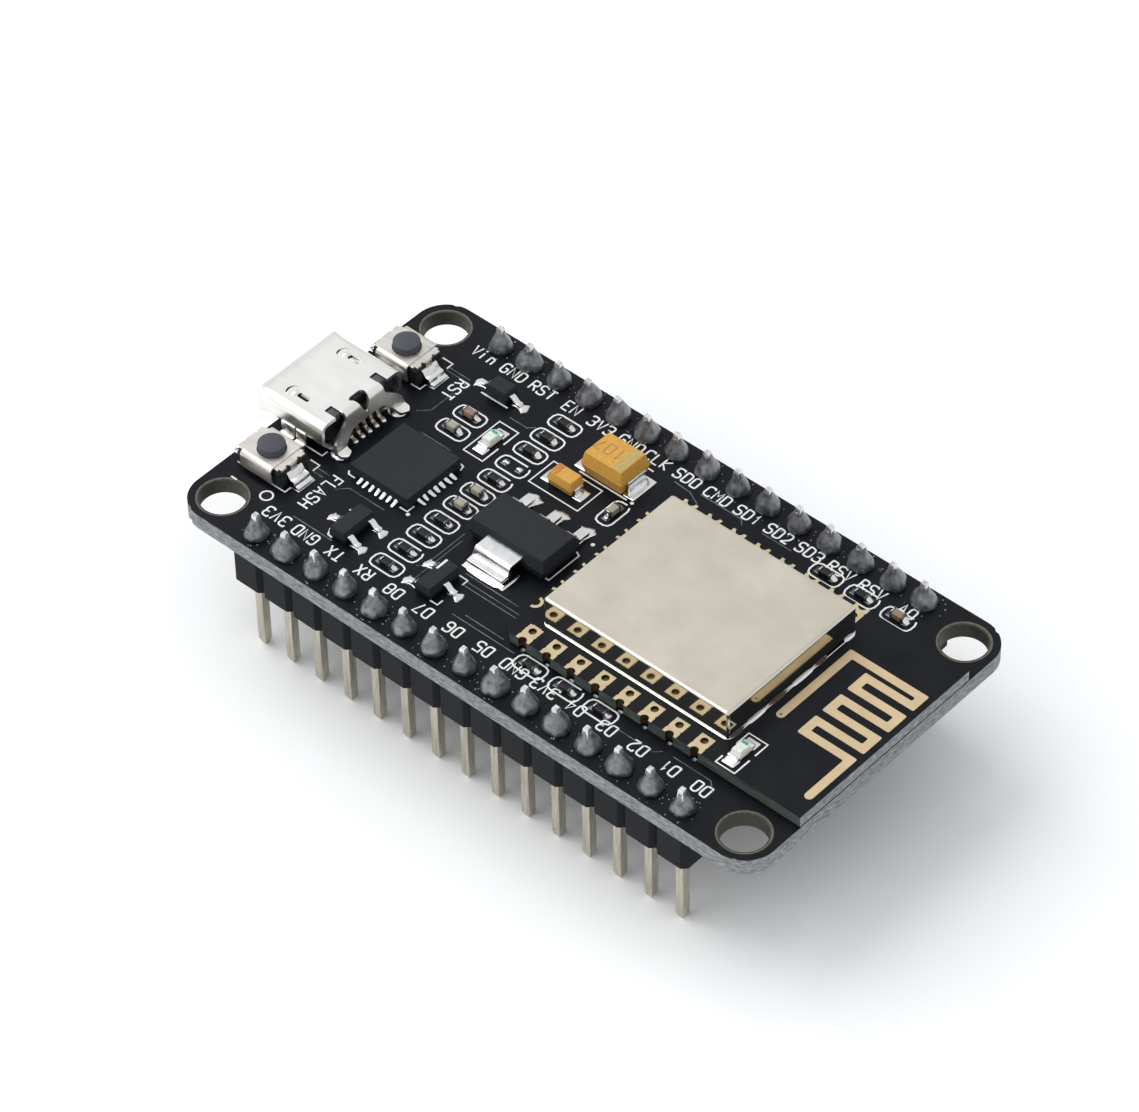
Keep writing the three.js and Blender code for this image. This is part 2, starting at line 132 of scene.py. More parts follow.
toward_camera = Vector((
    math.sin(CAMERA_AZIMUTH) * math.cos(CAMERA_ELEVATION),
    -math.cos(CAMERA_AZIMUTH) * math.cos(CAMERA_ELEVATION),
    math.sin(CAMERA_ELEVATION),
))
camera_turn = toward_camera.to_track_quat("Z", "Y").to_matrix() @ Matrix.Rotation(CAMERA_ROLL, 3, "Z")
camera = bpy.data.objects.new("camera", bpy.data.cameras.new("camera"))
camera.data.lens = LENS_MM
camera.data.clip_start = 0.01
camera.data.clip_end = 10
camera.matrix_world = (
    Matrix.Translation(TO_FRAME @ (CAMERA_TARGET + CAMERA_DISTANCE * toward_camera)) @ camera_turn.to_4x4()
)
scene.collection.objects.link(camera)
scene.camera = camera

# The floor is matt white paper. Its faint cloudiness only keeps the white from being dead flat.
paper = mottled("white_sweep_paper", "#fafafa", "#ffffff", 60, (0.9, 0.95), Specular_IOR_Level=0.1)
sweep = bmesh.new()
bmesh.ops.create_grid(sweep, x_segments=2, y_segments=2, size=2)
sweep_mesh = bpy.data.meshes.new("sweep")
sweep.to_mesh(sweep_mesh)
sweep.free()
sweep_mesh.materials.append(paper)
floor = bpy.data.objects.new("sweep", sweep_mesh)
scene.collection.objects.link(floor)


def soft_light(name, direction, distance, size, power):
    """A square area light that faces the board from a direction, with sizes in metres."""
    lamp = bpy.data.lights.new(name, "AREA")
    lamp.size = size
    lamp.energy = power
    holder = bpy.data.objects.new(name, lamp)
    away = Vector(direction).normalized()
    facing = away.to_track_quat("Z", "Y").to_matrix().to_4x4()
    holder.matrix_world = Matrix.Translation(away * distance) @ facing
    scene.collection.objects.link(holder)


soft_light("window_light", (-1.0, -0.15, 1.3), 1.2, 1.0, 7.0)
soft_light("front_fill", (-0.35, -1.0, 0.7), 1.2, 0.7, 1.8)
world = bpy.data.worlds.new("studio")
world.use_nodes = True
world.node_tree.nodes["Background"].inputs["Color"].default_value = colour("#f4f6f8")
world.node_tree.nodes["Background"].inputs["Strength"].default_value = 0.84
scene.world = world
scene.view_settings.view_transform = "Standard"

# ---- carrier board ------------------------------------------------------------------------------
# Black glass-fibre laminate under a glossy solder mask, routed from a panel. The cut edge shows the
# pale glass layers. Each screw hole is drilled through a ring that the mask leaves bare.

TOP = BOARD_HIGH.z / MM
UNDERSIDE = BOARD_LOW.z / MM
BOARD_LENGTH = (BOARD_HIGH.x - BOARD_LOW.x) / MM
BOARD_WIDTH = (BOARD_HIGH.y - BOARD_LOW.y) / MM
BOARD_CORNER = 2.3
HOLE_RADIUS = 1.55
RING_RADIUS = 1.77
HOLE_X = 21.8
HOLE_Y = 10.44
BITE_RADIUS = 0.33
BITE_X = BOARD_LENGTH / 2 - 1.25
BITE_Y = BOARD_WIDTH / 2 + 0.02

# Black solder mask: the copper below and the rolled-on coat leave a slow swell and small specks.
mask = mottled("black_solder_mask", "#0d0f14", "#13161c", 2.2, (0.28, 0.4), 0.002, Specular_IOR_Level=0.14)
# Routed laminate: pale glass bundles lie along the board with dark resin between them.
cut_edge = mottled(
    "routed_glass_laminate", "#3c3f40", "#a9acae", 0.13, (0.6, 0.85), 0.03, (0.3, 0.3, 1.4), detail=9,
)
# Drilled laminate: the drill polishes resin over the glass, so the wall is brown and darker.
drilled = mottled("drilled_laminate", "#16150f", "#3d3a2c", 0.3, (0.5, 0.7), 0.01)
# The ring round each screw hole is bare glass epoxy, a pale olive line.
bare_ring = mottled("bare_glass_epoxy", "#45443a", "#6c6a58", 0.3, (0.5, 0.7), 0.004)


def add_piece(name, bm, materials, body="root", replaces=(), crease=35):
    """Makes the finished shape a piece of the board: carried into the frame, and riding on a body."""
    bmesh.ops.transform(bm, matrix=TO_FRAME, verts=bm.verts)
    mesh = bpy.data.meshes.new(name)
    bm.to_mesh(mesh)
    bm.free()
    for material in materials:
        mesh.materials.append(material)
    mesh.shade_smooth()
    mesh.set_sharp_from_angle(angle=math.radians(crease))
    piece = bpy.data.objects.new(name, mesh)
    scene.collection.objects.link(piece)
    flat_faces = piece.modifiers.new("flat_faces", "WEIGHTED_NORMAL")
    flat_faces.keep_sharp = True
    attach(piece, body)
    if replaces:
        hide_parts(*replaces)
    return piece


def arc(x, y, radius, start, end, steps):
    """Points along an arc, with its angles in degrees."""
    angles = [math.radians(start + (end - start) * i / steps) for i in range(steps + 1)]
    return [(x + radius * math.cos(a), y + radius * math.sin(a)) for a in angles]


def circle(x, y, radius, steps):
    return arc(x, y, radius, 0, 360, steps)[:-1]


def rounded_outline(length, width, radius, steps, x=0, y=0):
    """A rectangle's outline with round corners, anticlockwise from the -Y side."""
    across = length / 2 - radius
    up = width / 2 - radius
    corners = [(across, -up, -90), (across, up, 0), (-across, up, 90), (-across, -up, 180)]
    return [p for cx, cy, a in corners for p in arc(x + cx, y + cy, radius, a, a + 90, steps)]


def ring(bm, points, z):
    """A closed loop of edges through flat points at one height."""
    verts = [bm.verts.new((x, y, z)) for x, y in points]
    return [bm.edges.new((verts[i - 1], verts[i])) for i in range(len(verts))]


def drawn(bm, edges, shift, grow=(1, 1, 1), about=(0, 0, 0), finish=0):
    """Extrudes a loop of edges by a shift and a growth about a point, and gives the new loop."""
    made = bmesh.ops.extrude_edge_only(bm, edges=edges)["geom"]
    verts = [g for g in made if isinstance(g, bmesh.types.BMVert)]
    bmesh.ops.scale(bm, vec=grow, space=Matrix.Translation(-Vector(about)), verts=verts)
    bmesh.ops.translate(bm, vec=shift, verts=verts)
    for face in {f for v in verts for f in v.link_faces}:
        face.material_index = finish
    new = set(verts)
    met = dict.fromkeys(e for v in verts for e in v.link_edges)
    return [e for e in met if e.verts[0] in new and e.verts[1] in new]


def fill(bm, edges, finish=None):
    """Closes flat loops with faces. A loop inside another one stays open."""
    made = bmesh.ops.triangle_fill(bm, use_beauty=True, edges=edges)["geom"]
    if finish is not None:
        for face in (g for g in made if isinstance(g, bmesh.types.BMFace)):
            face.material_index = finish


def face_outward(bm):
    bmesh.ops.recalc_face_normals(bm, faces=bm.faces)


def bitten(point):
    """A point of the outline, moved in onto the half hole that the panel's tab left near each corner."""
    x, y = point
    across = abs(x) - BITE_X
    if abs(across) >= BITE_RADIUS or abs(y) < HOLE_Y:
        return point
    depth = math.sqrt(BITE_RADIUS ** 2 - across ** 2)
    return x, math.copysign(min(abs(y), BITE_Y - depth), y)


def board_shape():
    bm = bmesh.new()
    outline = [bitten(p) for p in rounded_outline(BOARD_LENGTH, BOARD_WIDTH, BOARD_CORNER, 40)]
    rim = ring(bm, outline, TOP)
    centres = [(sx * HOLE_X, sy * HOLE_Y) for sx in (-1, 1) for sy in (-1, 1)]
    holes = [ring(bm, circle(x, y, RING_RADIUS, 48), TOP) for x, y in centres]
    fill(bm, rim + sum(holes, []))
    floor_edges = drawn(bm, rim, (0, 0, UNDERSIDE - TOP), finish=1)
    step = 0.03
    rim_width = 0.09
    bare = (RING_RADIUS - step - rim_width) / (RING_RADIUS - step)
    inner = HOLE_RADIUS / (RING_RADIUS - step - rim_width)
    for (x, y), edges in zip(centres, holes):
        about = (x, y, 0)
        lip = 1 - step / RING_RADIUS
        edges = drawn(bm, edges, (0, 0, -step), (lip, lip, 1), about, finish=3)
        edges = drawn(bm, edges, (0, 0, 0), (bare, bare, 1), about, finish=3)
        edges = drawn(bm, edges, (0, 0, -step), (inner, inner, 1), about, finish=2)
        edges = drawn(bm, edges, (0, 0, UNDERSIDE - TOP + 4 * step), (1, 1, 1), about, finish=2)
        edges = drawn(bm, edges, (0, 0, -step), (1 / inner, 1 / inner, 1), about, finish=2)
        edges = drawn(bm, edges, (0, 0, 0), (1 / bare, 1 / bare, 1), about, finish=3)
        floor_edges += drawn(bm, edges, (0, 0, -step), (1 / lip, 1 / lip, 1), about, finish=3)
    fill(bm, floor_edges)
    face_outward(bm)
    return bm


board_finishes = [mask, cut_edge, drilled, bare_ring]
add_piece("carrier_board", board_shape(), board_finishes, replaces=["main_board"])

# ---- pin headers --------------------------------------------------------------------------------
# Two strips of glass-filled nylon, moulded as fifteen joined cells with V notches where they can be
# snapped apart. Square brass pins, nickel and gold plated, are pressed through them.

PITCH = 2.54
PINS_PER_ROW = 15
ROW_Y = 4.5 * PITCH
PIN_WIDTH = 0.64
STRIP_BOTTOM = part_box("header_strip_front")[0].z / MM
PIN_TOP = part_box("header_pin_front_01")[1].z / MM
PIN_X = [(i - (PINS_PER_ROW - 1) / 2) * PITCH for i in range(PINS_PER_ROW)]
SIDES = [("front", -1), ("back", 1)]

# Moulded nylon: satin, with the fine drag lines of the mould and tiny glass specks.
nylon = mottled(
    "moulded_black_nylon", "#0e1013", "#191c21", 0.35, (0.45, 0.6), 0.004,
    Specular_IOR_Level=0.12,
)
# Plated brass: warm pale metal, a little streaked along its length from drawing the wire.
pin_plate = mottled(
    "nickel_gold_plate", "#aca695", "#d3cec0", 0.5, (0.2, 0.34), 0.002, (3, 3, 0.25),
    Metallic=1,
)
# Where the solder ran up over the end of a pin it is white and wet-looking.
wetted_tip = mottled("solder_wetted_tip", "#c4c5c6", "#f2f2f2", 0.3, (0.2, 0.34), 0.004, Metallic=0.9)


def strip_shape(row_y):
    """One strip: the notched outline made into a block, with a square sink round each pin below."""
    bm = bmesh.new()
    half = PITCH / 2
    notch = 0.35
    near = []
    for x in PIN_X:
        near += [(x - half + notch, -half), (x + half - notch, -half), (x + half, notch - half)]
    outline = [(PIN_X[0] - half, notch - half)] + near
    outline += [(-x, -y) for x, y in outline]
    rim = ring(bm, [(x, row_y + y) for x, y in outline], UNDERSIDE)
    fill(bm, rim)
    edge = 0.06
    lower = drawn(bm, rim, (0, 0, STRIP_BOTTOM + edge - UNDERSIDE))
    upright = [e for e in bm.edges if abs(e.verts[0].co.z - e.verts[1].co.z) > 1]
    shrink = (1 - edge / PIN_X[-1], 1 - edge / half, 1)
    lower = drawn(bm, lower, (0, 0, -edge), shrink, (0, row_y, 0))
    sinks = [ring(bm, rounded_outline(1.1, 1.1, 0.1, 2, x, row_y), STRIP_BOTTOM) for x in PIN_X]
    fill(bm, lower + sum(sinks, []))
    for sink in sinks:
        roof = drawn(bm, sink, (0, 0, 0.2))
        fill(bm, roof)
    bmesh.ops.bevel(
        bm, geom=upright, offset=0.04, affect="EDGES", segments=2, profile=0.5, material=-1,
        clamp_overlap=True,
    )
    face_outward(bm)
    return bm


def pin_shape(x, y):
    """One square pin: a drawn bar with a short taper below and a long wetted one through its solder."""
    bm = bmesh.new()
    half = PIN_WIDTH / 2
    taper = 0.55
    edges = ring(bm, rounded_outline(2 * half * taper, 2 * half * taper, 0.03, 2, x, y), 0)
    fill(bm, edges)
    about = (x, y, 0)
    edges = drawn(bm, edges, (0, 0, 0.4), (1 / taper, 1 / taper, 1), about)
    edges = drawn(bm, edges, (0, 0, TOP + 0.2), (1, 1, 1), about)
    edges = drawn(bm, edges, (0, 0, PIN_TOP - TOP - 0.68), (0.62, 0.62, 1), about, finish=1)
    edges = drawn(bm, edges, (0, 0, 0.08), (0.8, 0.8, 1), about, finish=1)
    fill(bm, edges)
    for face in bm.faces:
        if face.calc_center_median().z > TOP + 1:
            face.material_index = 1
    face_outward(bm)
    return bm


for side, sign in SIDES:
    strip = strip_shape(sign * ROW_Y)
    add_piece(f"pin_strip_{side}", strip, [nylon], replaces=[f"header_strip_{side}"])
    for number, x in enumerate(PIN_X, 1):
        add_piece(
            f"pin_{side}_{number:02d}", pin_shape(x, sign * ROW_Y), [pin_plate, wetted_tip],
            replaces=[f"header_pin_{side}_{number:02d}"], crease=25,
        )

# ---- soldered joints ----------------------------------------------------------------------------
# Hand-soldered bells of lead-free solder, drawn up round each pin as the iron left it. No two are alike:
# some lean, some are starved, and the ones on the ground plane froze early and wide. Crumbs of flux lie
# round them.

# Lead-free solder: grey and satin, with a coarse frosted crystal grain and darker flux-stained patches.
solder = mottled("lead_free_solder", "#616366", "#999b9f", 0.4, (0.26, 0.44), 0.008, Metallic=0.8)
# Dried rosin: pale crumbs and flecks, half clear.
rosin = mottled("dried_rosin_flux", "#84837c", "#c9c9c4", 0.1, (0.25, 0.4))
GROUND_PINS = {"front": (2, 9), "back": (2, 6)}


def lathe(bm, profile, steps):
    """Turns a profile of (radius, height) points about the upright axis."""
    verts = [bm.verts.new((r, 0, z)) for r, z in profile]
    edges = [bm.edges.new(pair) for pair in zip(verts, verts[1:])]
    bmesh.ops.spin(
        bm, geom=verts + edges, axis=(0, 0, 1), cent=(0, 0, 0), angle=math.tau, steps=steps, use_merge=True,
    )
    bmesh.ops.remove_doubles(bm, verts=bm.verts, dist=0.001)


def cone_shape(x, y, radius, height, lean, hollow, seed):
    """A turned bell of solder, full or hollow-sided below its thin neck, then folded and roughened."""
    bm = bmesh.new()
    full = [
        (0, 0), (0.98, 0), (1.02, 0.05), (1.02, 0.14), (0.99, 0.26), (0.92, 0.38), (0.81, 0.5),
        (0.68, 0.62), (0.55, 0.74), (0.45, 0.85), (0.39, 0.94), (0.34, 1.0), (0, 1.0),
    ]
    starved = [1, 1, 1, 0.97, 0.9, 0.83, 0.77, 0.75, 0.77, 0.83, 0.9, 1, 1]
    waists = [1 + hollow * (waist - 1) for waist in starved]
    lathe(bm, [(radius * r * waist, height * h) for (r, h), waist in zip(full, waists)], 28)
    for vert in bm.verts:
        share = vert.co.z / height
        out = vert.co.to_2d().normalized() if vert.co.to_2d().length else Vector((0, 0))
        fold = noise.noise(Vector((1.6 * out.x, 1.6 * out.y, 0.5 * share + seed)))
        pock = noise.noise(vert.co * 3.2 + Vector((0, seed, 0)))
        loose = 1 - share ** 2
        swell = 1 + loose * (0.18 * fold + 0.05 * pock)
        lift = 1 + 0.1 * (1 - loose) * noise.noise(Vector((seed, out.x, out.y)))
        vert.co.x = vert.co.x * swell + lean[0] * share * loose * 2
        vert.co.y = vert.co.y * swell + lean[1] * share * loose * 2
        vert.co.z *= lift
    bmesh.ops.translate(bm, vec=(x, y, TOP), verts=bm.verts)
    face_outward(bm)
    return bm


hand = random.Random(7)
for side, sign in SIDES:
    for number, x in enumerate(PIN_X, 1):
        wide = number in GROUND_PINS[side]
        radius = hand.uniform(0.78, 0.87) * (1.12 if wide else 1)
        height = hand.uniform(1.46, 1.6)
        lean = hand.uniform(-0.1, 0.1), hand.uniform(-0.1, 0.1)
        hollow = hand.uniform(-0.1, 0.8)
        shape = cone_shape(x, sign * ROW_Y, radius, height, lean, hollow, 7.3 * number + sign)
        add_piece(f"solder_joint_{side}_{number:02d}", shape, [solder], crease=60)

crumbs = bmesh.new()
for side, sign in SIDES:
    for _ in range(110):
        size = hand.uniform(0.02, 0.05)
        angle = hand.uniform(0, math.tau)
        away = hand.uniform(0.95, 1.6)
        x = hand.choice(PIN_X) + away * math.cos(angle)
        y = sign * ROW_Y + min(away, 1.1) * math.sin(angle)
        stretch = Matrix.Diagonal((hand.uniform(0.8, 2), 1, 0.5, 1))
        turn = Matrix.Rotation(angle, 4, "Z")
        place = Matrix.Translation((x, y, TOP)) @ turn @ stretch
        bmesh.ops.create_icosphere(crumbs, subdivisions=1, radius=size, matrix=place)
add_piece("flux_crumbs", crumbs, [rosin])

# ---- micro-USB inlet ----------------------------------------------------------------------------
# A shell drawn and folded from bright nickel-plated steel, flared at the mouth. Two spring latches are
# cut from its roof. A tail folds down behind it over five contacts onto two soldered feet.

SHELL_LOW, SHELL_HIGH = (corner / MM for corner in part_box("usb_shell"))
SHELL_MOUTH = SHELL_LOW.x - BOARD_MIDDLE.x / MM
SHELL_REAR = SHELL_HIGH.x - BOARD_MIDDLE.x / MM
SHELL_FLOOR = TOP + 0.05
SHELL_WIDTH = 7.4
SHELL_HEIGHT = 2.55
SHELL_ROOF = SHELL_FLOOR + SHELL_HEIGHT
SHELL_WALL = 0.25
LATCH_Y = 2.35
LATCH_SLOT = -22.25
# Turns a section drawn flat so that it faces along the board.
ALONG_X = Matrix(((0, 0, 1), (1, 0, 0), (0, 1, 0)))

# Bright nickel on deep-drawn steel: almost white, softly brushed along the roof, with worn handling haze.
shell_steel = mottled(
    "bright_nickel_on_steel", "#eeeee8", "#f9f9f4", 2.5, (0.27, 0.33), 0.0, (0.5, 1.4, 1),
    Metallic=1,
)
# Liquid-crystal polymer insulator: charcoal, dry and slightly grainy.
insulator = mottled(
    "charcoal_lcp_insulator", "#1a1b1d", "#26282b", 0.3, (0.5, 0.65), 0.004,
    Specular_IOR_Level=0.3,
)
# The two keys that lock the block in the shell's notches are painted a paler grey than the insulator:
# painted light, for the extra light that they catch.
key_plastic_painted_light = mottled("charcoal_lcp_key_painted_light", "#34383c", "#50555a", 0.3, (0.5, 0.65), 0.004)
# Tin over copper alloy leads: bright and a little milky.
tin_plate = mottled("bright_tin_plate", "#e0e1e1", "#f6f6f5", 0.8, (0.18, 0.24), 0.0003, Metallic=1)
# Contact spring alloy with a thin gold flash: warm, and the brown end of its mottle is painted shade, for
# the shadows between the contacts.
contact_alloy_and_painted_shade = mottled("gold_flashed_contact_painted_shade", "#8f7d66", "#d6cab6", 0.5, (0.2, 0.32), 0.002, Metallic=1)


def eased(points, radius, steps=4, closed=False):
    """A path with each inner corner rounded off, by at most half of the stretch beside it."""
    made = []
    last = len(points) - 1
    for i, point in enumerate(points):
        corner = Vector(point)
        if not closed and i in (0, last):
            made.append(corner)
            continue
        sides = [Vector(points[i - 1]) - corner, Vector(points[(i + 1) % len(points)]) - corner]
        reach = min([radius] + [side.length / 2 for side in sides])
        start, end = (corner + side.normalized() * reach for side in sides)
        shares = [k / steps for k in range(steps + 1)]
        made += [start.lerp(corner, t).lerp(corner.lerp(end, t), t) for t in shares]
    return made


def put(bm, shape, x=0, y=0, z=0, turn=0, finish=None):
    """Sets a shape into a piece at a place, turned by degrees about its own upright axis."""
    if finish is not None:
        for face in shape.faces:
            face.material_index = finish
    part = bpy.data.meshes.new("part")
    shape.to_mesh(part)
    shape.free()
    part.transform(Matrix.Translation((x, y, z)) @ Matrix.Rotation(math.radians(turn), 4, "Z"))
    bm.from_mesh(part)
    bpy.data.meshes.remove(part)


def block(length, width, height, edge=0.03):
    """A block standing on z = 0 with every edge eased."""
    bm = bmesh.new()
    middle = Matrix.Translation((0, 0, height / 2))
    bmesh.ops.create_cube(bm, size=1, matrix=middle @ Matrix.Diagonal((length, width, height, 1)))
    bmesh.ops.bevel(bm, geom=bm.edges, offset=edge, affect="EDGES", segments=2, profile=0.5, material=-1)
    return bm


def inset_growth(length, width, inset, next_inset):
    """The growth that takes a rectangle's outline from one inset to the next."""
    return [(size - 2 * next_inset) / (size - 2 * inset) for size in (length, width)] + [1]


def stacked(length, width, corner, levels, steps=3):
    """A closed body built up from its round-cornered outline. levels are (height, inset) from below."""
    bm = bmesh.new()
    z, inset = levels[0]
    edges = ring(bm, rounded_outline(length - 2 * inset, width - 2 * inset, corner, steps), z)
    fill(bm, edges)
    for next_z, next_inset in levels[1:]:
        grow = inset_growth(length, width, inset, next_inset)
        edges = drawn(bm, edges, (0, 0, next_z - z), grow)
        z, inset = next_z, next_inset
    fill(bm, edges)
    face_outward(bm)
    return bm


def bent_strip(path, width, thickness, edge=0.02):
    """A strip of sheet whose middle follows (x, z) points, with its width along Y and its edges eased."""
    bm = bmesh.new()
    verts = [bm.verts.new((x, -width / 2, z)) for x, z in path]
    edges = [bm.edges.new(pair) for pair in zip(verts, verts[1:])]
    made = bmesh.ops.extrude_edge_only(bm, edges=edges)["geom"]
    bmesh.ops.translate(bm, vec=(0, width, 0), verts=[g for g in made if isinstance(g, bmesh.types.BMVert)])
    bmesh.ops.solidify(bm, geom=bm.faces, thickness=thickness)
    face_outward(bm)
    sharp = [e for e in bm.edges if e.calc_face_angle(0) > math.radians(60)]
    bmesh.ops.bevel(bm, geom=sharp, offset=edge, affect="EDGES", segments=2, profile=0.5, material=-1)
    return bm


def drum(radius, height, steps=24):
    """An upright round bar on z = 0, to cut or stand with."""
    bm = bmesh.new()
    middle = Matrix.Translation((0, 0, height / 2))
    bmesh.ops.create_cone(
        bm, cap_ends=True, segments=steps, radius1=radius, radius2=radius, depth=height, matrix=middle,
    )
    return bm


def carved(bm, cutters):
    """The shape with each cutter taken out of it."""
    holders = []
    for shape in [bm] + cutters:
        mesh = bpy.data.meshes.new("carving")
        shape.to_mesh(mesh)
        shape.free()
        holders.append(bpy.data.objects.new("carving", mesh))
        scene.collection.objects.link(holders[-1])
    for cutter in holders[1:]:
        cut = holders[0].modifiers.new("cut", "BOOLEAN")
        cut.object = cutter
        cut.operation = "DIFFERENCE"
        cut.solver = "EXACT"
    result = bmesh.new()
    result.from_mesh(holders[0].evaluated_get(bpy.context.evaluated_depsgraph_get()).to_mesh())
    for holder in holders:
        bpy.data.meshes.remove(holder.data)
    return result


def droplet(length, width, height, around, up):
    """A round drop, half of it below z = 0. Its sizes are half lengths."""
    bm = bmesh.new()
    stretch = Matrix.Diagonal((length, width, height, 1))
    bmesh.ops.create_uvsphere(bm, u_segments=around, v_segments=up, radius=1, matrix=stretch)
    return bm


def placed(shape, x, y, z, turn=0):
    """The same shape, moved and turned."""
    bm = bmesh.new()
    put(bm, shape, x, y, z, turn)
    return bm


def shell_section(inset):
    """The inlet's outline seen from the mouth: round upper corners, slanted lower corners."""
    half = SHELL_WIDTH / 2 - inset
    slant_height = 1.0
    slant_width = 0.85
    radius = 0.55 - inset
    low = SHELL_FLOOR + inset
    high = SHELL_ROOF - inset
    slant = [(half, low + slant_height), (half - slant_width, low)]
    lower = eased([(half, low + slant_height + 0.4)] + slant + [(0, low)], 0.3)
    upper = [Vector(p) for p in arc(half - radius, high - radius, radius, 90, 0, 8)]
    right = upper + lower[:-1]
    return right + [Vector((-p.x, p.y)) for p in reversed(right)]


def shell_shape():
    bm = bmesh.new()
    edges = ring(bm, shell_section(0), 0)
    bmesh.ops.rotate(bm, verts=bm.verts, matrix=ALONG_X)
    bmesh.ops.translate(bm, vec=(SHELL_REAR, 0, 0), verts=bm.verts)
    about = (0, 0, SHELL_FLOOR + SHELL_HEIGHT / 2)
    flare = 0.12
    body = SHELL_REAR - SHELL_MOUTH - 0.75
    edges = drawn(bm, edges, (-body, 0, 0), about=about)
    wide, tall = 1.0, 1.0
    for run, rise in ((0.25, 0.12), (0.2, 0.4), (0.16, 0.72), (0.14, 1.0)):
        wider = 1 + rise * flare / (SHELL_WIDTH / 2)
        taller = 1 + rise * flare / (SHELL_HEIGHT / 2)
        edges = drawn(bm, edges, (-run, 0, 0), (1, wider / wide, taller / tall), about)
        wide, tall = wider, taller
    face_outward(bm)
    bmesh.ops.solidify(bm, geom=bm.faces, thickness=SHELL_WALL)
    face_outward(bm)
    roof = SHELL_ROOF - 1
    tools = []
    for sign in (-1, 1):
        slot = stacked(0.95, 0.4, 0.12, [(0, 0), (2, 0)], 5)
        tools.append(placed(slot, LATCH_SLOT, sign * LATCH_Y, roof))
        kept_side = [placed(drum(0.52, 3, 40), 0.16, 0, -0.5), placed(block(1, 2, 3), 0.55, 0, -0.5)]
        crescent = carved(drum(0.52, 2, 40), kept_side)
        tools.append(placed(crescent, LATCH_SLOT - 0.9, sign * LATCH_Y, roof))
        tools.append(placed(stacked(2.0, 0.62, 0.06, [(0, 0), (2, 0)], 3), SHELL_REAR, sign * 2.08, roof))
        clip = block(1.0, 0.7, 0.75, 0.05)
        tools.append(placed(clip, SHELL_MOUTH + 0.12, sign * (SHELL_WIDTH / 2 + 0.1), SHELL_ROOF - 0.5))
    tools.append(placed(stacked(1.3, 1.3, 0.3, [(0, 0), (2, 0)], 5), SHELL_REAR, 0, roof))
    return carved(bm, tools)


shell = shell_shape()
for sign in (-1, 1):
    put(shell, droplet(0.22, 0.34, 0.14, 24, 12), LATCH_SLOT - 0.72, sign * LATCH_Y, SHELL_ROOF - 0.03)
    tab_path = eased([(0, 1.15), (0, 0.1), (0.62, 0.06)], 0.25)
    for start, length in ((-23.0, 1.15), (-21.7, 0.8)):
        strip = bent_strip(tab_path, length, 0.2, 0.03)
        put(shell, strip, start + length / 2, sign * (SHELL_WIDTH / 2 - 0.12), TOP + 0.02, 90 * sign)
add_piece("usb_drawn_shell", shell, [shell_steel], replaces=["usb_shell"], crease=40)


def tail_shape():
    """The folded tail: cut flat, bent down behind the roof, and ended in two round feet."""
    bm = bmesh.new()
    half = [
        (0.0, 1.25), (0.66, 0), (1.7, 0), (1.8, 0.85), (2.45, 1.25), (3.1, 1.9), (3.2, 3.1), (2.85, 3.45),
        (2.3, 3.2), (2.25, 2.45), (1.85, 1.9), (1.3, 1.55),
    ]
    flat = half + [(-x, y) for x, y in reversed(half[1:])]
    edges = ring(bm, eased(flat, 0.16, 3, closed=True), 0)
    fill(bm, edges)
    for i in range(1, 44):
        everything = bm.verts[:] + bm.edges[:] + bm.faces[:]
        bmesh.ops.bisect_plane(bm, geom=everything, plane_co=(0, 0.08 * i, 0), plane_no=(0, 1, 0))
    fold = eased([(0, 0), (0.42, 0), (0.95, -2.25), (1.6, -2.3)], 0.35, 8)
    lengths = [(b - a).length for a, b in zip(fold, fold[1:])]
    for vert in bm.verts:
        along = vert.co.y
        for a, b, length in zip(fold, fold[1:], lengths):
            if along <= length or b == fold[-1]:
                point = a.lerp(b, along / length)
                break
            along -= length
        vert.co = (SHELL_REAR - 0.35 + point.x, vert.co.x, SHELL_ROOF - 0.12 + point.y)
    face_outward(bm)
    bmesh.ops.solidify(bm, geom=bm.faces, thickness=0.22)
    face_outward(bm)
    return bm


tail = tail_shape()
add_piece("usb_folded_tail", tail, [shell_steel], replaces=["usb_shell_tail"], crease=50)

inside = bmesh.new()
BACK_WALL = 1.1
plug = bmesh.new()
edges = ring(plug, shell_section(SHELL_WALL + 0.02), 0)
fill(plug, edges)
edges = drawn(plug, edges, (0, 0, BACK_WALL))
fill(plug, edges)
bmesh.ops.rotate(plug, verts=plug.verts, matrix=ALONG_X)
face_outward(plug)
put(inside, plug, SHELL_REAR - 0.45 - BACK_WALL, finish=0)
put(inside, block(3.6, 3.75, 0.6, 0.08), SHELL_REAR - 2.95, 0, SHELL_FLOOR + 1.35, finish=0)
for sign in (-1, 1):
    put(inside, block(0.75, 0.56, 0.5, 0.05), SHELL_REAR - 0.55, sign * 2.08, SHELL_ROOF - 0.58, finish=1)
put(inside, block(0.5, 3.4, 0.9, 0.08), SHELL_REAR - 0.3, 0, SHELL_FLOOR + 0.7, finish=0)
block_finishes = [insulator, key_plastic_painted_light]
add_piece("usb_contact_block", inside, block_finishes, replaces=["usb_insulator"])

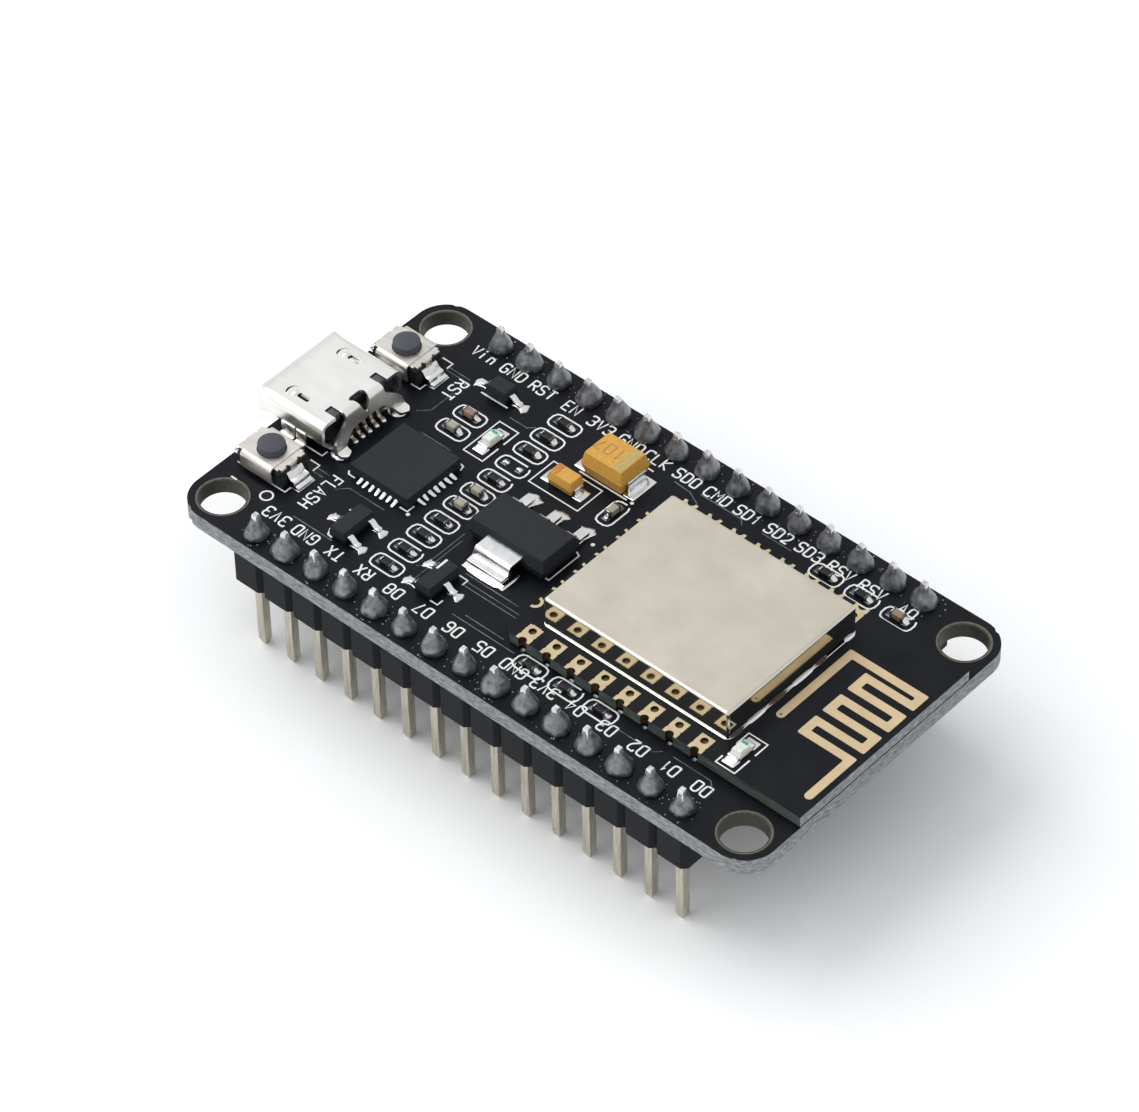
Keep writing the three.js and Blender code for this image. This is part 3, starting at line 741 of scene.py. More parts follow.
contacts = bmesh.new()
CONTACT_PITCH = 0.65
for i in range(5):
    y = (i - 2) * CONTACT_PITCH
    foot = bent_strip(eased([(0, 1.0), (0.3, 0.92), (0.62, 0.16), (1.05, 0.1)], 0.2, 6), 0.28, 0.13)
    put(contacts, foot, -19.85, y, TOP, finish=0)
    put(contacts, droplet(0.26, 0.2, 0.17, 14, 8), -18.84, y, TOP + 0.06, finish=1)
    put(contacts, block(3.2, 0.3, 0.06, 0.01), SHELL_REAR - 2.9, y, SHELL_FLOOR + 1.3, finish=0)
for y in (-2.66, 2.66):
    put(contacts, droplet(0.68, 0.64, 0.2, 20, 8), -18.85, y, TOP, finish=1)
add_piece("usb_contacts", contacts, [contact_alloy_and_painted_shade, tin_plate])

# ---- push switches ------------------------------------------------------------------------------
# Two low surface-mount push switches. A folded stainless cover is clamped over a black moulding, with a
# round rubber-like button above a snap dome, and tinned terminals at both ends.

SWITCH_X = -21.35
SWITCHES = [("reset", 6.3), ("flash", -6.3)]

# Stainless strip, satin from rolling: warm grey with a faint grain along the strip.
stainless = mottled(
    "rolled_stainless_strip", "#cdc9c2", "#dfdbd4", 0.9, (0.34, 0.44), 0.001, (0.35, 2, 1),
    Metallic=1,
)
# The actuator is slate-grey moulded nylon with a fine spark-eroded texture on its top.
button_nylon = mottled(
    "slate_grey_nylon", "#45464d", "#4f5058", 0.2, (0.55, 0.68), 0.003,
    Specular_IOR_Level=0.3,
)
# Spring steel dome: clean and hard, faintly blue.
spring = mottled("hard_spring_steel", "#a5a9ad", "#c9ccce", 0.6, (0.2, 0.32), 0.002, Metallic=1)


def cover_shape():
    """The folded cover: one strip over the top and down both sides, and two end ears, with its notches."""
    side = 1.42
    fold = eased([(-side, 0.32), (-side, 1.43), (side, 1.43), (side, 0.32)], 0.22, 6)
    ears = stacked(3.8, 2.44, 0.1, [(1.352, 0.03), (1.38, 0), (1.48, 0), (1.508, 0.03)], 4)
    tools = [placed(drum(0.98, 3, 48), 0, 0, 0.5)]
    corners = [(end, sign) for end in (-1, 1) for sign in (-1, 1)]
    tools += [placed(block(0.6, 0.42, 3), 1.98 * end, 1.28 * sign, 0.5) for end, sign in corners]
    tools += [placed(drum(0.13, 3), 1.88 * end, 0.52 * sign, 0.5) for end, sign in corners]
    bm = carved(ears, tools)
    strip = placed(bent_strip(fold, 2.72, 0.15, 0.03), 0, 0, 0, 90)
    put(bm, carved(strip, [placed(drum(0.98, 3, 48), 0, 0, 0.5)]))
    for end in (-1, 1):
        put(bm, bent_strip(eased([(0, 1.43), (0.0, 0.85)], 0.1), 0.55, 0.13, 0.03), 1.84 * end)
    return bm


def terminal(reach):
    """A tinned terminal: it leaves the moulding at half height, steps down twice and lies on its pad."""
    steps = eased([(0, 0.95), (0.42, 0.88), (0.66, 0.5), (1.0, 0.46), (1.1, 0.2), (reach, 0.15)], 0.05, 3)
    return bent_strip(steps, 1.36, 0.1)


for name, y in SWITCHES:
    body = stacked(3.75, 2.5, 0.12, [(0, 0.03), (0.04, 0), (1.2, 0), (1.27, 0.05)], 3)
    body = carved(body, [placed(drum(1.12, 2, 32), 0, 0, 0.45)])
    for sx in (-1, 1):
        put(body, block(0.3, 0.5, 0.8, 0.04), 1.85 * sx, 0.95)
        put(body, block(0.3, 0.5, 0.8, 0.04), 1.85 * sx, -0.95)
    moulding = bmesh.new()
    put(moulding, body, SWITCH_X, y, TOP + 0.04)
    base = f"{name}_switch_base"
    add_piece(f"{name}_moulded_body", moulding, [insulator], replaces=[base])
    cover = placed(cover_shape(), SWITCH_X, y, TOP)
    add_piece(f"{name}_folded_cover", cover, [stainless], replaces=[f"{name}_switch_cover"])
    feet = bmesh.new()
    put(feet, terminal(1.45), SWITCH_X + 1.5, y, TOP, finish=0)
    put(feet, terminal(1.3), SWITCH_X - 1.5, y, TOP, 180, finish=0)
    put(feet, block(0.95, 1.5, 0.1, 0.04), SWITCH_X + 2.55, y, TOP, finish=0)
    put(feet, block(0.7, 1.5, 0.1, 0.04), SWITCH_X - 2.4, y, TOP, finish=0)
    add_piece(f"{name}_terminals", feet, [tin_plate])

    button = bmesh.new()
    flange = [(0, 0.9), (1.03, 0.9), (1.03, 1.25), (0.92, 1.27)]
    lathe(button, flange + [(0.92, 1.98), (0.9, 2.04), (0.84, 2.08), (0, 2.075)], 48)
    face_outward(button)
    button = placed(button, SWITCH_X, y, TOP)
    body_name = f"{name}_button"
    add_piece(f"{name}_actuator", button, [button_nylon], body_name, [body_name])

    dome = bmesh.new()
    floor_height = TOP + 0.47
    lathe(dome, [(1.05 * i / 8, 0.36 * math.cos(math.pi * i / 16)) for i in range(9)], 32)
    face_outward(dome)
    bmesh.ops.solidify(dome, geom=dome.faces, thickness=0.05)
    dome = placed(dome, SWITCH_X, y, floor_height)
    dome = add_piece(f"{name}_snap_disc", dome, [spring], replaces=[f"{name}_snap_dome"])
    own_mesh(dome)

# ---- white legend -------------------------------------------------------------------------------
# Epoxy ink screened on the mask in strokes about 0.15 mm wide. Each section adds the strokes that mark
# its own parts, and they are all made into one thin layer at the end.

LEGEND = []
GLYPHS = {
    "0": ["~20 40 46 06 00 20"], "1": ["14 26 20"], "2": ["~05 06 46 43 00", "00 40"],
    "3": ["~05 06 46 43 13", "~13 43 40 00 01"], "4": ["30 36 02 42"], "5": ["46 06 03", "~03 43 40 00 01"],
    "6": ["~45 46 06 00 40 43 03"], "7": ["06 46 10"], "8": ["~23 43 46 06 03 23", "~23 43 40 00 03 23"],
    "A": ["00 26 40", "12 32"], "C": ["~45 46 06 00 40 41"], "D": ["00 06", "~06 46 40 00"],
    "E": ["46 06 00 40", "03 33"], "F": ["46 06 00", "03 33"], "G": ["~45 46 06 00 40 43", "43 23"],
    "H": ["00 06", "40 46", "03 43"], "K": ["00 06", "46 03 40"], "L": ["06 00 40"],
    "M": ["00 06 23 46 40"], "N": ["00 06 40 46"], "R": ["00 06", "~06 46 43 03", "23 40"],
    "S": ["~45 46 06 03 43 40 00 01"], "T": ["06 46", "26 20"], "V": ["06 20 46"], "X": ["00 46", "06 40"],
    "i": ["10 14", "15 16"], "n": ["00 04", "~03 04 34 30"],
}
CAP_HEIGHT = 0.88


def stroke(*points, z=None, closed=False):
    """Adds one stroke of ink through flat points."""
    LEGEND.append(([Vector(p) for p in points], TOP if z is None else z, closed))


def write(text, x, y, turn=0, height=CAP_HEIGHT, lines=None, z=None):
    """Adds a word of stroke letters, centred on a place and turned by quarter turns."""
    unit = height / 6
    narrow = 0.8
    step = 6.0
    width = step * len(text) - 2.0
    spin = Matrix.Rotation(math.radians(turn), 2)
    for i, letter in enumerate(text):
        for line in GLYPHS[letter]:
            pairs = line.strip("~").split()
            dots = [Vector((narrow * (int(c) + step * i - width / 2), int(r) - 3)) for c, r in pairs]
            dots = eased(dots, 1.9, 5) if line[0] == "~" else dots
            points = [Vector((x, y)) + spin @ (dot * unit) for dot in dots]
            (LEGEND if lines is None else lines).append((points, TOP if z is None else z, False))


def frame_mark(x, y, length=2.34, width=1.22, gap=0):
    """Adds a part's outline with round corners, left open after a few points where the ink missed."""
    points = rounded_outline(length, width, 0.4, 2, x, y)
    stroke(*points[gap:], *points[:gap], closed=not gap)


FRONT_LABELS = "3V3 GND TX RX D8 D7 D6 D5 GND 3V3 D4 D3 D2 D1 D0".split()
BACK_LABELS = "Vin GND RST EN 3V3 GND CLK SD0 CMD SD1 SD2 SD3 RSV RSV A0".split()
for number, (x, front, back) in enumerate(zip(PIN_X, FRONT_LABELS, BACK_LABELS)):
    write(front, x - 0.19, -9.47, 180)
    write(back, x - (0.28 if number < 6 or number == 14 else 0.57), 10.17)
write("RST", -17.38, 6.5, -90)
write("FLASH", -17.4, -6.05, -90)
for points in (
    [(-20.0, 8.2), (-19.1, 8.2), (-19.1, 7.6)], [(-19.9, 5.05), (-19.1, 5.05), (-19.1, 5.6)],
    [(-19.9, -4.35), (-19.1, -4.35), (-19.1, -5.0)], [(-20.4, -7.55), (-19.1, -7.55), (-19.1, -7.0)],
    [(-23.3, -7.1), (-23.3, -7.5), (-22.3, -7.5)], [(-22.7, -8.75), (-22.2, -8.75)],
    [(-21.0, -3.6), (-19.6, -3.6), (-19.6, -3.1)], [(-21.0, 3.6), (-19.6, 3.6), (-19.6, 3.1)],
):
    stroke(*points)
stroke(*circle(-19.75, -8.55, 0.42, 20), closed=True)

# ---- flat chips ---------------------------------------------------------------------------------
# The USB bridge is a thin moulded chip with no legs: its lands show as small solder fillets along each
# side. A few printed corner marks stand round it.

# Transfer-moulded epoxy: near black, dry, with the fine matt texture of the mould tool.
epoxy = mottled(
    "moulded_black_epoxy", "#212428", "#2a2d32", 0.09, (0.6, 0.72), 0.004,
    Specular_IOR_Level=0.2,
)

CHIP = Vector((-14.6, -1.08))
CHIP_SIZE = 5.0
CHIP_HEIGHT = 0.85


def solder_fillet(length, width, height):
    """A small ramp of solder: full height at x = 0, running out to a thin round toe."""
    bm = bmesh.new()
    bmesh.ops.create_grid(bm, x_segments=6, y_segments=5, size=0.5, matrix=Matrix.Translation((0.5, 0, 0)))
    for vert in bm.verts:
        out, side = vert.co.x, 2 * vert.co.y
        vert.co.z = height * ((1 - out) ** 2 * (1 - 0.35 * side * side) + 0.08)
        vert.co.y *= width * (1 - 0.35 * out * out)
        vert.co.x *= length * (1 - 0.12 * side * side)
    rim = [e for e in bm.edges if e.is_boundary]
    skirt = drawn(bm, rim, (0, 0, 0))
    for vert in {v for e in skirt for v in e.verts}:
        vert.co.z = 0
    fill(bm, skirt)
    face_outward(bm)
    return bm


chip = bmesh.new()
levels = [(0, 0.04), (0.04, 0), (CHIP_HEIGHT - 0.03, 0), (CHIP_HEIGHT, 0.03)]
put(chip, stacked(CHIP_SIZE, CHIP_SIZE, 0.06, levels), CHIP.x, CHIP.y, TOP + 0.03, finish=0)
lands = [(side, i) for side in range(4) for i in range(7)]
for side, i in lands:
    along = (i - 3) * 0.5
    out = CHIP_SIZE / 2
    spin = Matrix.Rotation(math.radians(90 * side), 2)
    at = CHIP + spin @ Vector((out - 0.02, along))
    lump = solder_fillet(hand.uniform(0.46, 0.62), hand.uniform(0.25, 0.31), 0.24)
    put(chip, lump, at.x, at.y, TOP, 90 * side + hand.uniform(-8, 8), finish=1)
add_piece("usb_bridge_chip", chip, [epoxy, tin_plate], replaces=["usb_serial_chip"])
stroke((-17.35, -3.45), (-17.15, -3.7), (-16.6, -3.7))
stroke((-12.65, -3.75), (-12.0, -3.75), (-12.0, -3.1))
stroke((-12.4, 1.65), (-12.1, 1.6), (-12.0, 1.2))
stroke(*circle(-11.8, -3.9, 0.08, 10), closed=True)

# ---- moulded parts with bent leads --------------------------------------------------------------
# The input diode, two transistors and the 3.3 V regulator are drafted epoxy mouldings with tinned leads
# that step down onto their lands.


def gull_lead(reach, width, height, thickness=0.14):
    """A lead that leaves a moulding at a height, drops, and lies flat on its land."""
    drop = min(0.35, reach * 0.4)
    steps = [(-0.2, height), (0.12, height), (0.12 + drop, 0.16), (reach, 0.14)]
    return bent_strip(eased(steps, 0.12, 4), width, thickness)


def land(length, width):
    """A soldered land: a low pillow of solder over its copper."""
    return stacked(length, width, 0.08, [(0, 0), (0.04, 0.0), (0.08, 0.05), (0.09, 0.12)], 3)


def fishtail(length, width):
    """Solder that ran out from under a lead along +X and froze in a ragged, hollow-sided tail."""
    bm = bmesh.new()
    side = [(-0.5, 0.3), (-0.1, 0.27), (0.15, 0.36), (0.38, 0.52), (0.42, 0.3), (0.5, 0.12)]
    outline = [(x * length, y * width * hand.uniform(0.85, 1.15)) for x, y in side]
    for x, y in reversed(side):
        outline.append((x * length * hand.uniform(0.9, 1.1), -y * width * hand.uniform(0.8, 1.15)))
    edges = ring(bm, eased(outline, 0.08, 2, closed=True), 0)
    for rise, share in ((0.05, 0.95), (0.05, 0.8), (0.03, 0.6), (0.01, 0.4)):
        edges = drawn(bm, edges, (0, 0, rise), (share, share, 1))
    fill(bm, edges)
    face_outward(bm)
    return bm


def moulded(length, width, height, draft):
    """A drafted moulding with a seam at half height and eased rims."""
    half = height / 2
    levels = [
        (0, draft + 0.04), (0.04, draft), (half - 0.02, 0.01), (half - 0.015, -0.01), (half + 0.015, -0.01),
        (half + 0.02, 0.01), (height - 0.05, draft), (height - 0.015, draft + 0.02), (height, draft + 0.06),
    ]
    return stacked(length, width, 0.08, levels, 3)


def node_size(node):
    """The size of a node's box in millimetres."""
    low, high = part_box(node)
    return (high - low) / MM


def small_outline(name, node, x, y, leads, mark=None):
    """A small moulded part on end: leads are (side, y), with side 1 towards +X."""
    length, width, height = node_size(node)
    bm = bmesh.new()
    put(bm, moulded(length, width, height, 0.09), x, y, TOP + 0.07, finish=0)
    for side, lead_y in leads:
        edge = x + side * length / 2
        turn = 0 if side > 0 else 180
        put(bm, gull_lead(0.85, 0.42, 0.5), edge, lead_y, TOP, turn, finish=1)
        put(bm, fishtail(1.2, 0.9), edge + side * 0.75, lead_y, TOP, turn, finish=1)
    if mark:
        put(bm, block(*mark, 0.01, 0.004), x - 0.35, y + 0.8, TOP + 0.07 + height, finish=2)
    ink = legend_ink if mark else epoxy
    add_piece(name, bm, [epoxy, tin_plate, ink], replaces=[node])


# Legend ink: matt warm white, a little ragged and thinner over ridges.
legend_ink = mottled("white_epoxy_ink", "#dcdedd", "#f4f5f3", 0.12, (0.55, 0.7), 0.003)

small_outline("left_transistor", "transistor_left", -13.5, -7.2, [(1, -6.25), (1, -8.15), (-1, -7.2)])
right_leads = [(1, -7.25), (-1, -6.3), (-1, -8.2)]
small_outline("right_transistor", "transistor_right", -6.1, -7.25, right_leads, (0.16, 1.0))
small_outline("reverse_diode", "input_diode", -14.65, 8.05, [(1, 8.05), (-1, 8.05)])
stroke((-14.65, -8.0), (-14.4, -8.5), (-14.0, -8.55))
stroke((-14.9, -6.0), (-14.3, -6.0))
stroke((-5.65, -5.75), (-4.95, -5.75), (-4.95, -6.25))
stroke((-5.55, -8.55), (-4.95, -8.55), (-4.95, -8.05))
stroke((-15.9, 7.45), (-13.6, 7.45))

REGULATOR_LOW, REGULATOR_HIGH = (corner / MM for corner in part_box("regulator_body"))
REGULATOR_X = (REGULATOR_LOW.x + REGULATOR_HIGH.x) / 2 - BOARD_MIDDLE.x / MM
REGULATOR_Y = (REGULATOR_LOW.y + REGULATOR_HIGH.y) / 2
REGULATOR_SIZE = REGULATOR_HIGH - REGULATOR_LOW
regulator = bmesh.new()
put(regulator, moulded(*REGULATOR_SIZE, 0.22), REGULATOR_X, REGULATOR_Y, TOP + 0.07, finish=0)
for i in (-1, 0, 1):
    x = REGULATOR_X + 2.3 * i
    y = REGULATOR_Y + REGULATOR_SIZE.y / 2
    put(regulator, gull_lead(1.5, 0.72, 0.9, 0.2), x, y, TOP + 0.08, 90, finish=1)
    put(regulator, fishtail(1.9, 1.3), x, y + 1.25, TOP, 90, finish=1)
    put(regulator, solder_fillet(0.45, 0.6, 0.24), x, y + 1.45, TOP + 0.06, 84, finish=1)
add_piece("voltage_regulator", regulator, [epoxy, tin_plate], replaces=["regulator_body"])
tab = bmesh.new()
tab_path = eased([(-0.2, 0.98), (0.98, 0.93), (1.12, 0.34), (1.9, 0.3)], 0.07, 4)
tab_edge = REGULATOR_Y - REGULATOR_SIZE.y / 2
put(tab, bent_strip(tab_path, 3.0, 0.24, 0.04), REGULATOR_X, tab_edge, TOP, -90, finish=0)
put(tab, land(1.75, 3.5), REGULATOR_X, REGULATOR_Y - 3.0, TOP, 90, finish=0)
put(tab, solder_fillet(0.45, 3.3, 0.24), REGULATOR_X, REGULATOR_Y - 3.62, TOP + 0.05, -90, finish=0)
add_piece("regulator_heat_tab", tab, [tin_plate], replaces=["regulator_tab"])
stroke((-1.5, 0.6), (-1.15, 0.45), (-1.15, -2.4), (-1.45, -2.4))
stroke(*circle(-1.15, 1.75, 0.08, 10), closed=True)

# ---- tantalum capacitors ------------------------------------------------------------------------
# Two moulded blocks of yellow resin with a printed stripe at the positive end, a faint laser-cut value,
# and plated end plates folded under onto their lands.

# Filled yellow epoxy: satin and slightly speckled, ochre where it is in shade.
resin = mottled(
    "moulded_yellow_resin", "#c7933f", "#d4a34e", 0.25, (0.42, 0.58), 0.004,
    Specular_IOR_Level=0.25,
)
# The stripe is olive ink on the same resin.
stripe_ink = mottled("olive_stripe_ink", "#a8904f", "#bfa868", 0.2, (0.5, 0.62), 0.003)
# The small one's stripe is a rust-brown ink.
brown_ink = mottled("brown_stripe_ink", "#b8702a", "#cb8437", 0.2, (0.5, 0.62), 0.003)
# A laser darkens the resin where it writes the value.
lasered = mottled("laser_darkened_resin", "#a57a34", "#b98d40", 0.2, (0.5, 0.62), 0.002)


def tantalum(name, node, stripe, stripe_side, stripe_width, x, y):
    size = node_size(node)
    draft = 0.2 * size.z / 1.85
    bm = bmesh.new()
    put(bm, moulded(*size, draft), x, y, TOP + 0.04, finish=0)
    top_edge = size.x / 2 - draft - 0.07
    bar = block(stripe_width, size.y - 2 * draft - 0.16, 0.012, 0.004)
    put(bm, bar, x + stripe_side * (top_edge - stripe_width / 2), y, TOP + 0.038 + size.z, finish=2)
    end = size.x / 2
    plate_path = eased([(0.0, size.z * 0.5), (0.06, size.z * 0.45), (0.06, 0.08)], 0.05)
    for side in (-1, 1):
        turn = 0 if side > 0 else 180
        put(bm, bent_strip(plate_path, size.y * 0.62, 0.1), x + side * end, y, TOP, turn, finish=1)
        pad = land(0.95 if size.y > 2 else 0.75, size.y * 0.82)
        put(bm, pad, x + side * (end + 0.3), y, TOP, finish=1)
        ramp = solder_fillet(0.5, size.y * 0.6, size.z * 0.35)
        put(bm, ramp, x + side * (end + 0.04), y, TOP, turn, finish=1)
    add_piece(name, bm, [resin, tin_plate, stripe], replaces=[node])


tantalum("large_tantalum", "tantalum_capacitor_large", stripe_ink, 1, 0.75, -4.3, 7.45)
tantalum("small_tantalum", "tantalum_capacitor_small", brown_ink, -1, 0.5, -5.97, 4.55)
stroke((-6.2, 6.15), (-2.2, 6.15))
stroke((-3.4, 9.2), (-2.6, 9.2))
stroke(*circle(-1.75, 6.15, 0.07, 10), closed=True)
stroke((-8.05, 3.35), (-3.9, 3.35), (-3.9, 5.75), (-8.05, 5.75), closed=True)

# ---- chip resistors and ceramic capacitors ------------------------------------------------------
# 1.0 by 0.5 mm parts, each inside its own outline. Resistors are white ceramic under black glaze with
# wrapped silver ends, and capacitors are fired brown or tan ceramic blocks.

glaze = mottled(
    "black_resistor_glaze", "#0d0e10", "#17181b", 0.2, (0.3, 0.45), 0.002,
    Specular_IOR_Level=0.3,
)
# Fired end caps and the lands under them, painted dark grey: a painted reflection of the black board in
# their shiny tin.
end_cap_painted_reflection = mottled("dark_end_cap_painted_reflection", "#2d2e30", "#77797b", 0.3, (0.25, 0.4), 0.004, Metallic=0.9)
# Fired alumina: a resistor's white underside, and the base of an LED.
alumina = mottled("white_alumina", "#cfcdc6", "#e6e4de", 0.2, (0.6, 0.75), 0.003)
# Barium titanate capacitors fire to a red-brown or a greyish tan with their grade.
brown_ceramic = mottled("brown_fired_ceramic", "#7a6150", "#9c826b", 0.15, (0.5, 0.65), 0.004)
tan_ceramic = mottled("tan_fired_ceramic", "#918c7a", "#aaa593", 0.15, (0.5, 0.65), 0.003)


def chip_part(name, x, y, kind, turn=0):
    """One chip part with its end caps, lands and fillets. kind is a resistor or a ceramic colour."""
    bm = bmesh.new()
    tall = 0.35 if kind == "resistor" else 0.5
    skew = turn + hand.uniform(-3, 3)
    part = bmesh.new()
    if kind == "resistor":
        put(part, block(0.96, 0.5, 0.3, 0.02), z=0.05, finish=0)
        put(part, block(0.98, 0.46, 0.02, 0.004), z=0.03, finish=3)
    elif kind != "bare":
        put(part, block(0.92, 0.52, tall - 0.03, 0.04), z=0.05, finish=0)
    for side in (-1, 1):
        # The lands take the same painted reflection as the end caps.
        put(part, land(0.5, 0.56), side * 0.6, finish=2)
        if kind == "bare":
            put(part, fishtail(0.5, 0.42), side * 0.55, z=0.04, turn=90 - 90 * side, finish=1)
            continue
        put(part, block(0.17, 0.54, tall, 0.03), side * 0.42, z=0.04, finish=2)
        # A thin strip on each cap's top: bright tin at the -X end is a painted highlight from the light on
        # that side; the +X one stays dark.
        put(part, block(0.07, 0.3, 0.02, 0.008), side * 0.43, z=tall + 0.035, finish=1 if side < 0 else 2)
        reach = hand.uniform(0.3, 0.42) if side > 0 else hand.uniform(0.12, 0.2)
        lump = solder_fillet(reach, hand.uniform(0.34, 0.46) if side > 0 else 0.3, tall * 0.75)
        put(part, lump, side * 0.5, z=0.07, turn=90 - 90 * side + hand.uniform(-15, 15), finish=1)
    put(bm, part, x, y, TOP, skew)
    bodies = {"resistor": glaze, "brown": brown_ceramic, "tan": tan_ceramic, "bare": end_cap_painted_reflection}
    add_piece(name, bm, [bodies[kind], tin_plate, end_cap_painted_reflection, alumina])
    gap = hand.choice((0, 0, 0, 5))
    if turn:
        frame_mark(x, y, 1.22, 2.34, gap)
    else:
        frame_mark(x, y, gap=gap)


COLUMN_X = -9.7
special = {3.65: "bare", 0.35: "tan", -1.25: "tan"}
column = [8.65, 6.98, 5.35, 3.65, 1.98, 0.35, -1.25, -2.98, -4.65, -6.35, -8.05]
chips = [(COLUMN_X, y, special.get(y, "resistor"), 0) for y in column]
chips += [(-14.9, 5.3, "brown", 0), (-14.9, 3.65, "tan", 0), (-2.06, 4.65, "tan", 90)]
chips += [(17.45, 9.3, "brown", 0), (11.65, 9.3, "resistor", 0), (14.55, 9.3, "resistor", 0)]
chips += [(3.02, -8.72, "resistor", 0), (5.92, -8.72, "resistor", 0), (8.8, -8.72, "resistor", 0)]
for number, (x, y, kind, turn) in enumerate(chips, 1):
    label = {"resistor": "chip_resistor", "bare": "empty_lands"}.get(kind, "ceramic_capacitor")
    chip_part(f"{label}_{number:02d}", x, y, kind, turn)

# ---- light-emitting diodes ----------------------------------------------------------------------
# A clear resin block over a white base, with a green mark at the cathode and bright soldered ends.

# Clear epoxy over a white reflector reads as milky white with a soft shine.
lens = mottled("milky_clear_resin", "#d3d8cb", "#f0f2e8", 0.3, (0.18, 0.3), 0.002, Subsurface_Weight=0.3)
lens.node_tree.nodes["Principled BSDF"].inputs["Subsurface Radius"].default_value = (0.0004, 0.0004, 0.0003)
# A dab of green lacquer marks the cathode.
green_mark = mottled("green_cathode_mark", "#2f9676", "#46b08b", 0.2, (0.45, 0.6), 0.002)


def led(name, node, x, y, z):
    bm = bmesh.new()
    put(bm, block(0.8, 1.6, 0.25, 0.03), x, y, z + 0.04, finish=2)
    put(bm, stacked(0.78, 1.05, 0.05, [(0, 0), (0.26, 0.04), (0.31, 0.08)]), x, y, z + 0.28, finish=0)
    put(bm, block(0.5, 0.22, 0.012, 0.004), x, y + 0.36, z + 0.588, finish=3)
    for side in (-1, 1):
        put(bm, block(0.82, 0.24, 0.28, 0.03), x, y + side * 0.7, z + 0.03, finish=1)
        put(bm, land(0.7, 0.95), x, y + side * 0.95, z, 90, finish=1)
        put(bm, solder_fillet(0.4, 0.75, 0.25), x, y + side * 0.8, z + 0.05, 90 * side, finish=1)
    add_piece(name, bm, [lens, tin_plate, alumina, green_mark], replaces=[node])


led("supply_light", "power_led", -12.3, 4.45, TOP)
stroke((-11.5, 4.25), (-11.5, 2.75), (-13.15, 2.75), (-13.15, 6.2), (-11.5, 6.2), (-11.5, 4.75))

# ---- radio module board -------------------------------------------------------------------------
# A thin board soldered flat on the carrier by half holes along three edges. Its lands, its plated holes
# and the zigzag aerial are bare gold-plated copper.

MODULE_LOW, MODULE_HIGH = (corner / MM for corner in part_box("module_board"))
MODULE_X = MODULE_LOW.x - BOARD_MIDDLE.x / MM
MODULE_LENGTH = MODULE_HIGH.x - MODULE_LOW.x
MODULE_HALF = MODULE_HIGH.y
MODULE_TOP = MODULE_HIGH.z
MODULE_BOTTOM = MODULE_LOW.z
FIRST_LAND = MODULE_X + 1.6
LAND_XS = [FIRST_LAND + 2 * i for i in range(8)]
END_YS = [-5 + 2 * i for i in range(6)]
HALF_HOLE = 0.31
PAD_HOLE = 0.27
HOLE_INSET = 0.98

# Immersion gold on copper: pale cream gold, matt from the copper's grain.
gold = mottled("immersion_gold", "#c2b08b", "#d3c3a0", 0.6, (0.4, 0.5), 0.001, Metallic=0.4)
# The plated walls of the half holes on the edge and of the bores are painted nearly black-brown: painted
# shade, for walls that stand in shadow.
hole_plating_painted_shade = mottled("edge_hole_plating_painted_shade", "#221910", "#584229", 0.3, (0.35, 0.5), 0.004, Metallic=0.3)
# Inside the plated holes the gold is thin over copper and stained with flux.
tarnished = mottled("stained_hole_plating", "#4a3820", "#8f744b", 0.3, (0.3, 0.5), 0.004, Metallic=0.3)
# The module's milled edge is mask-stained and greenish beside the pale routed one.
module_edge = mottled("milled_module_edge", "#2c332e", "#57605a", 0.18, (0.5, 0.7), 0.01, (0.15, 0.15, 1.4))


def module_outline():
    """The module's outline, with its half holes and one clipped corner, anticlockwise."""
    end = MODULE_X + MODULE_LENGTH
    clip = 0.55
    near = [p for x in LAND_XS for p in arc(x, -MODULE_HALF, HALF_HOLE, 180, 0, 10)]
    far = [p for x in reversed(LAND_XS) for p in arc(x, MODULE_HALF, HALF_HOLE, 0, -180, 10)]
    left = [p for y in reversed(END_YS) for p in arc(MODULE_X, y, HALF_HOLE, 90, -90, 10)]
    return (
        [(MODULE_X + clip, -MODULE_HALF)] + near + [(end, -MODULE_HALF), (end, MODULE_HALF)] + far
        + [(MODULE_X, MODULE_HALF)] + left + [(MODULE_X, -MODULE_HALF + clip)]
    )


def gold_land(x, sign):
    """One gold land on the module's edge: two legs round a half hole, a waist, then a plated hole."""
    bm = bmesh.new()
    edge = MODULE_HALF
    side = [(0.54, 0), (0.54, 0.4), (0.49, 0.46), (0.49, 0.52), (0.53, 0.6), (0.53, 1.42)]
    notch = [(p[0], sign * p[1]) for p in arc(0, edge, HALF_HOLE, 180, 360, 10)]
    right = [(across, sign * (edge - inward)) for across, inward in side]
    outline = notch + right + [(-across, y) for across, y in reversed(right)]
    rim = ring(bm, outline, 0.02)
    hole = ring(bm, circle(0, sign * (edge - HOLE_INSET), PAD_HOLE, 20), 0.02)
    fill(bm, rim + hole)
    drawn(bm, rim, (0, 0, -0.02))
    fill(bm, drawn(bm, hole, (0, 0, -0.22), finish=1), finish=1)
    face_outward(bm)
    return placed(bm, x, 0, MODULE_TOP)


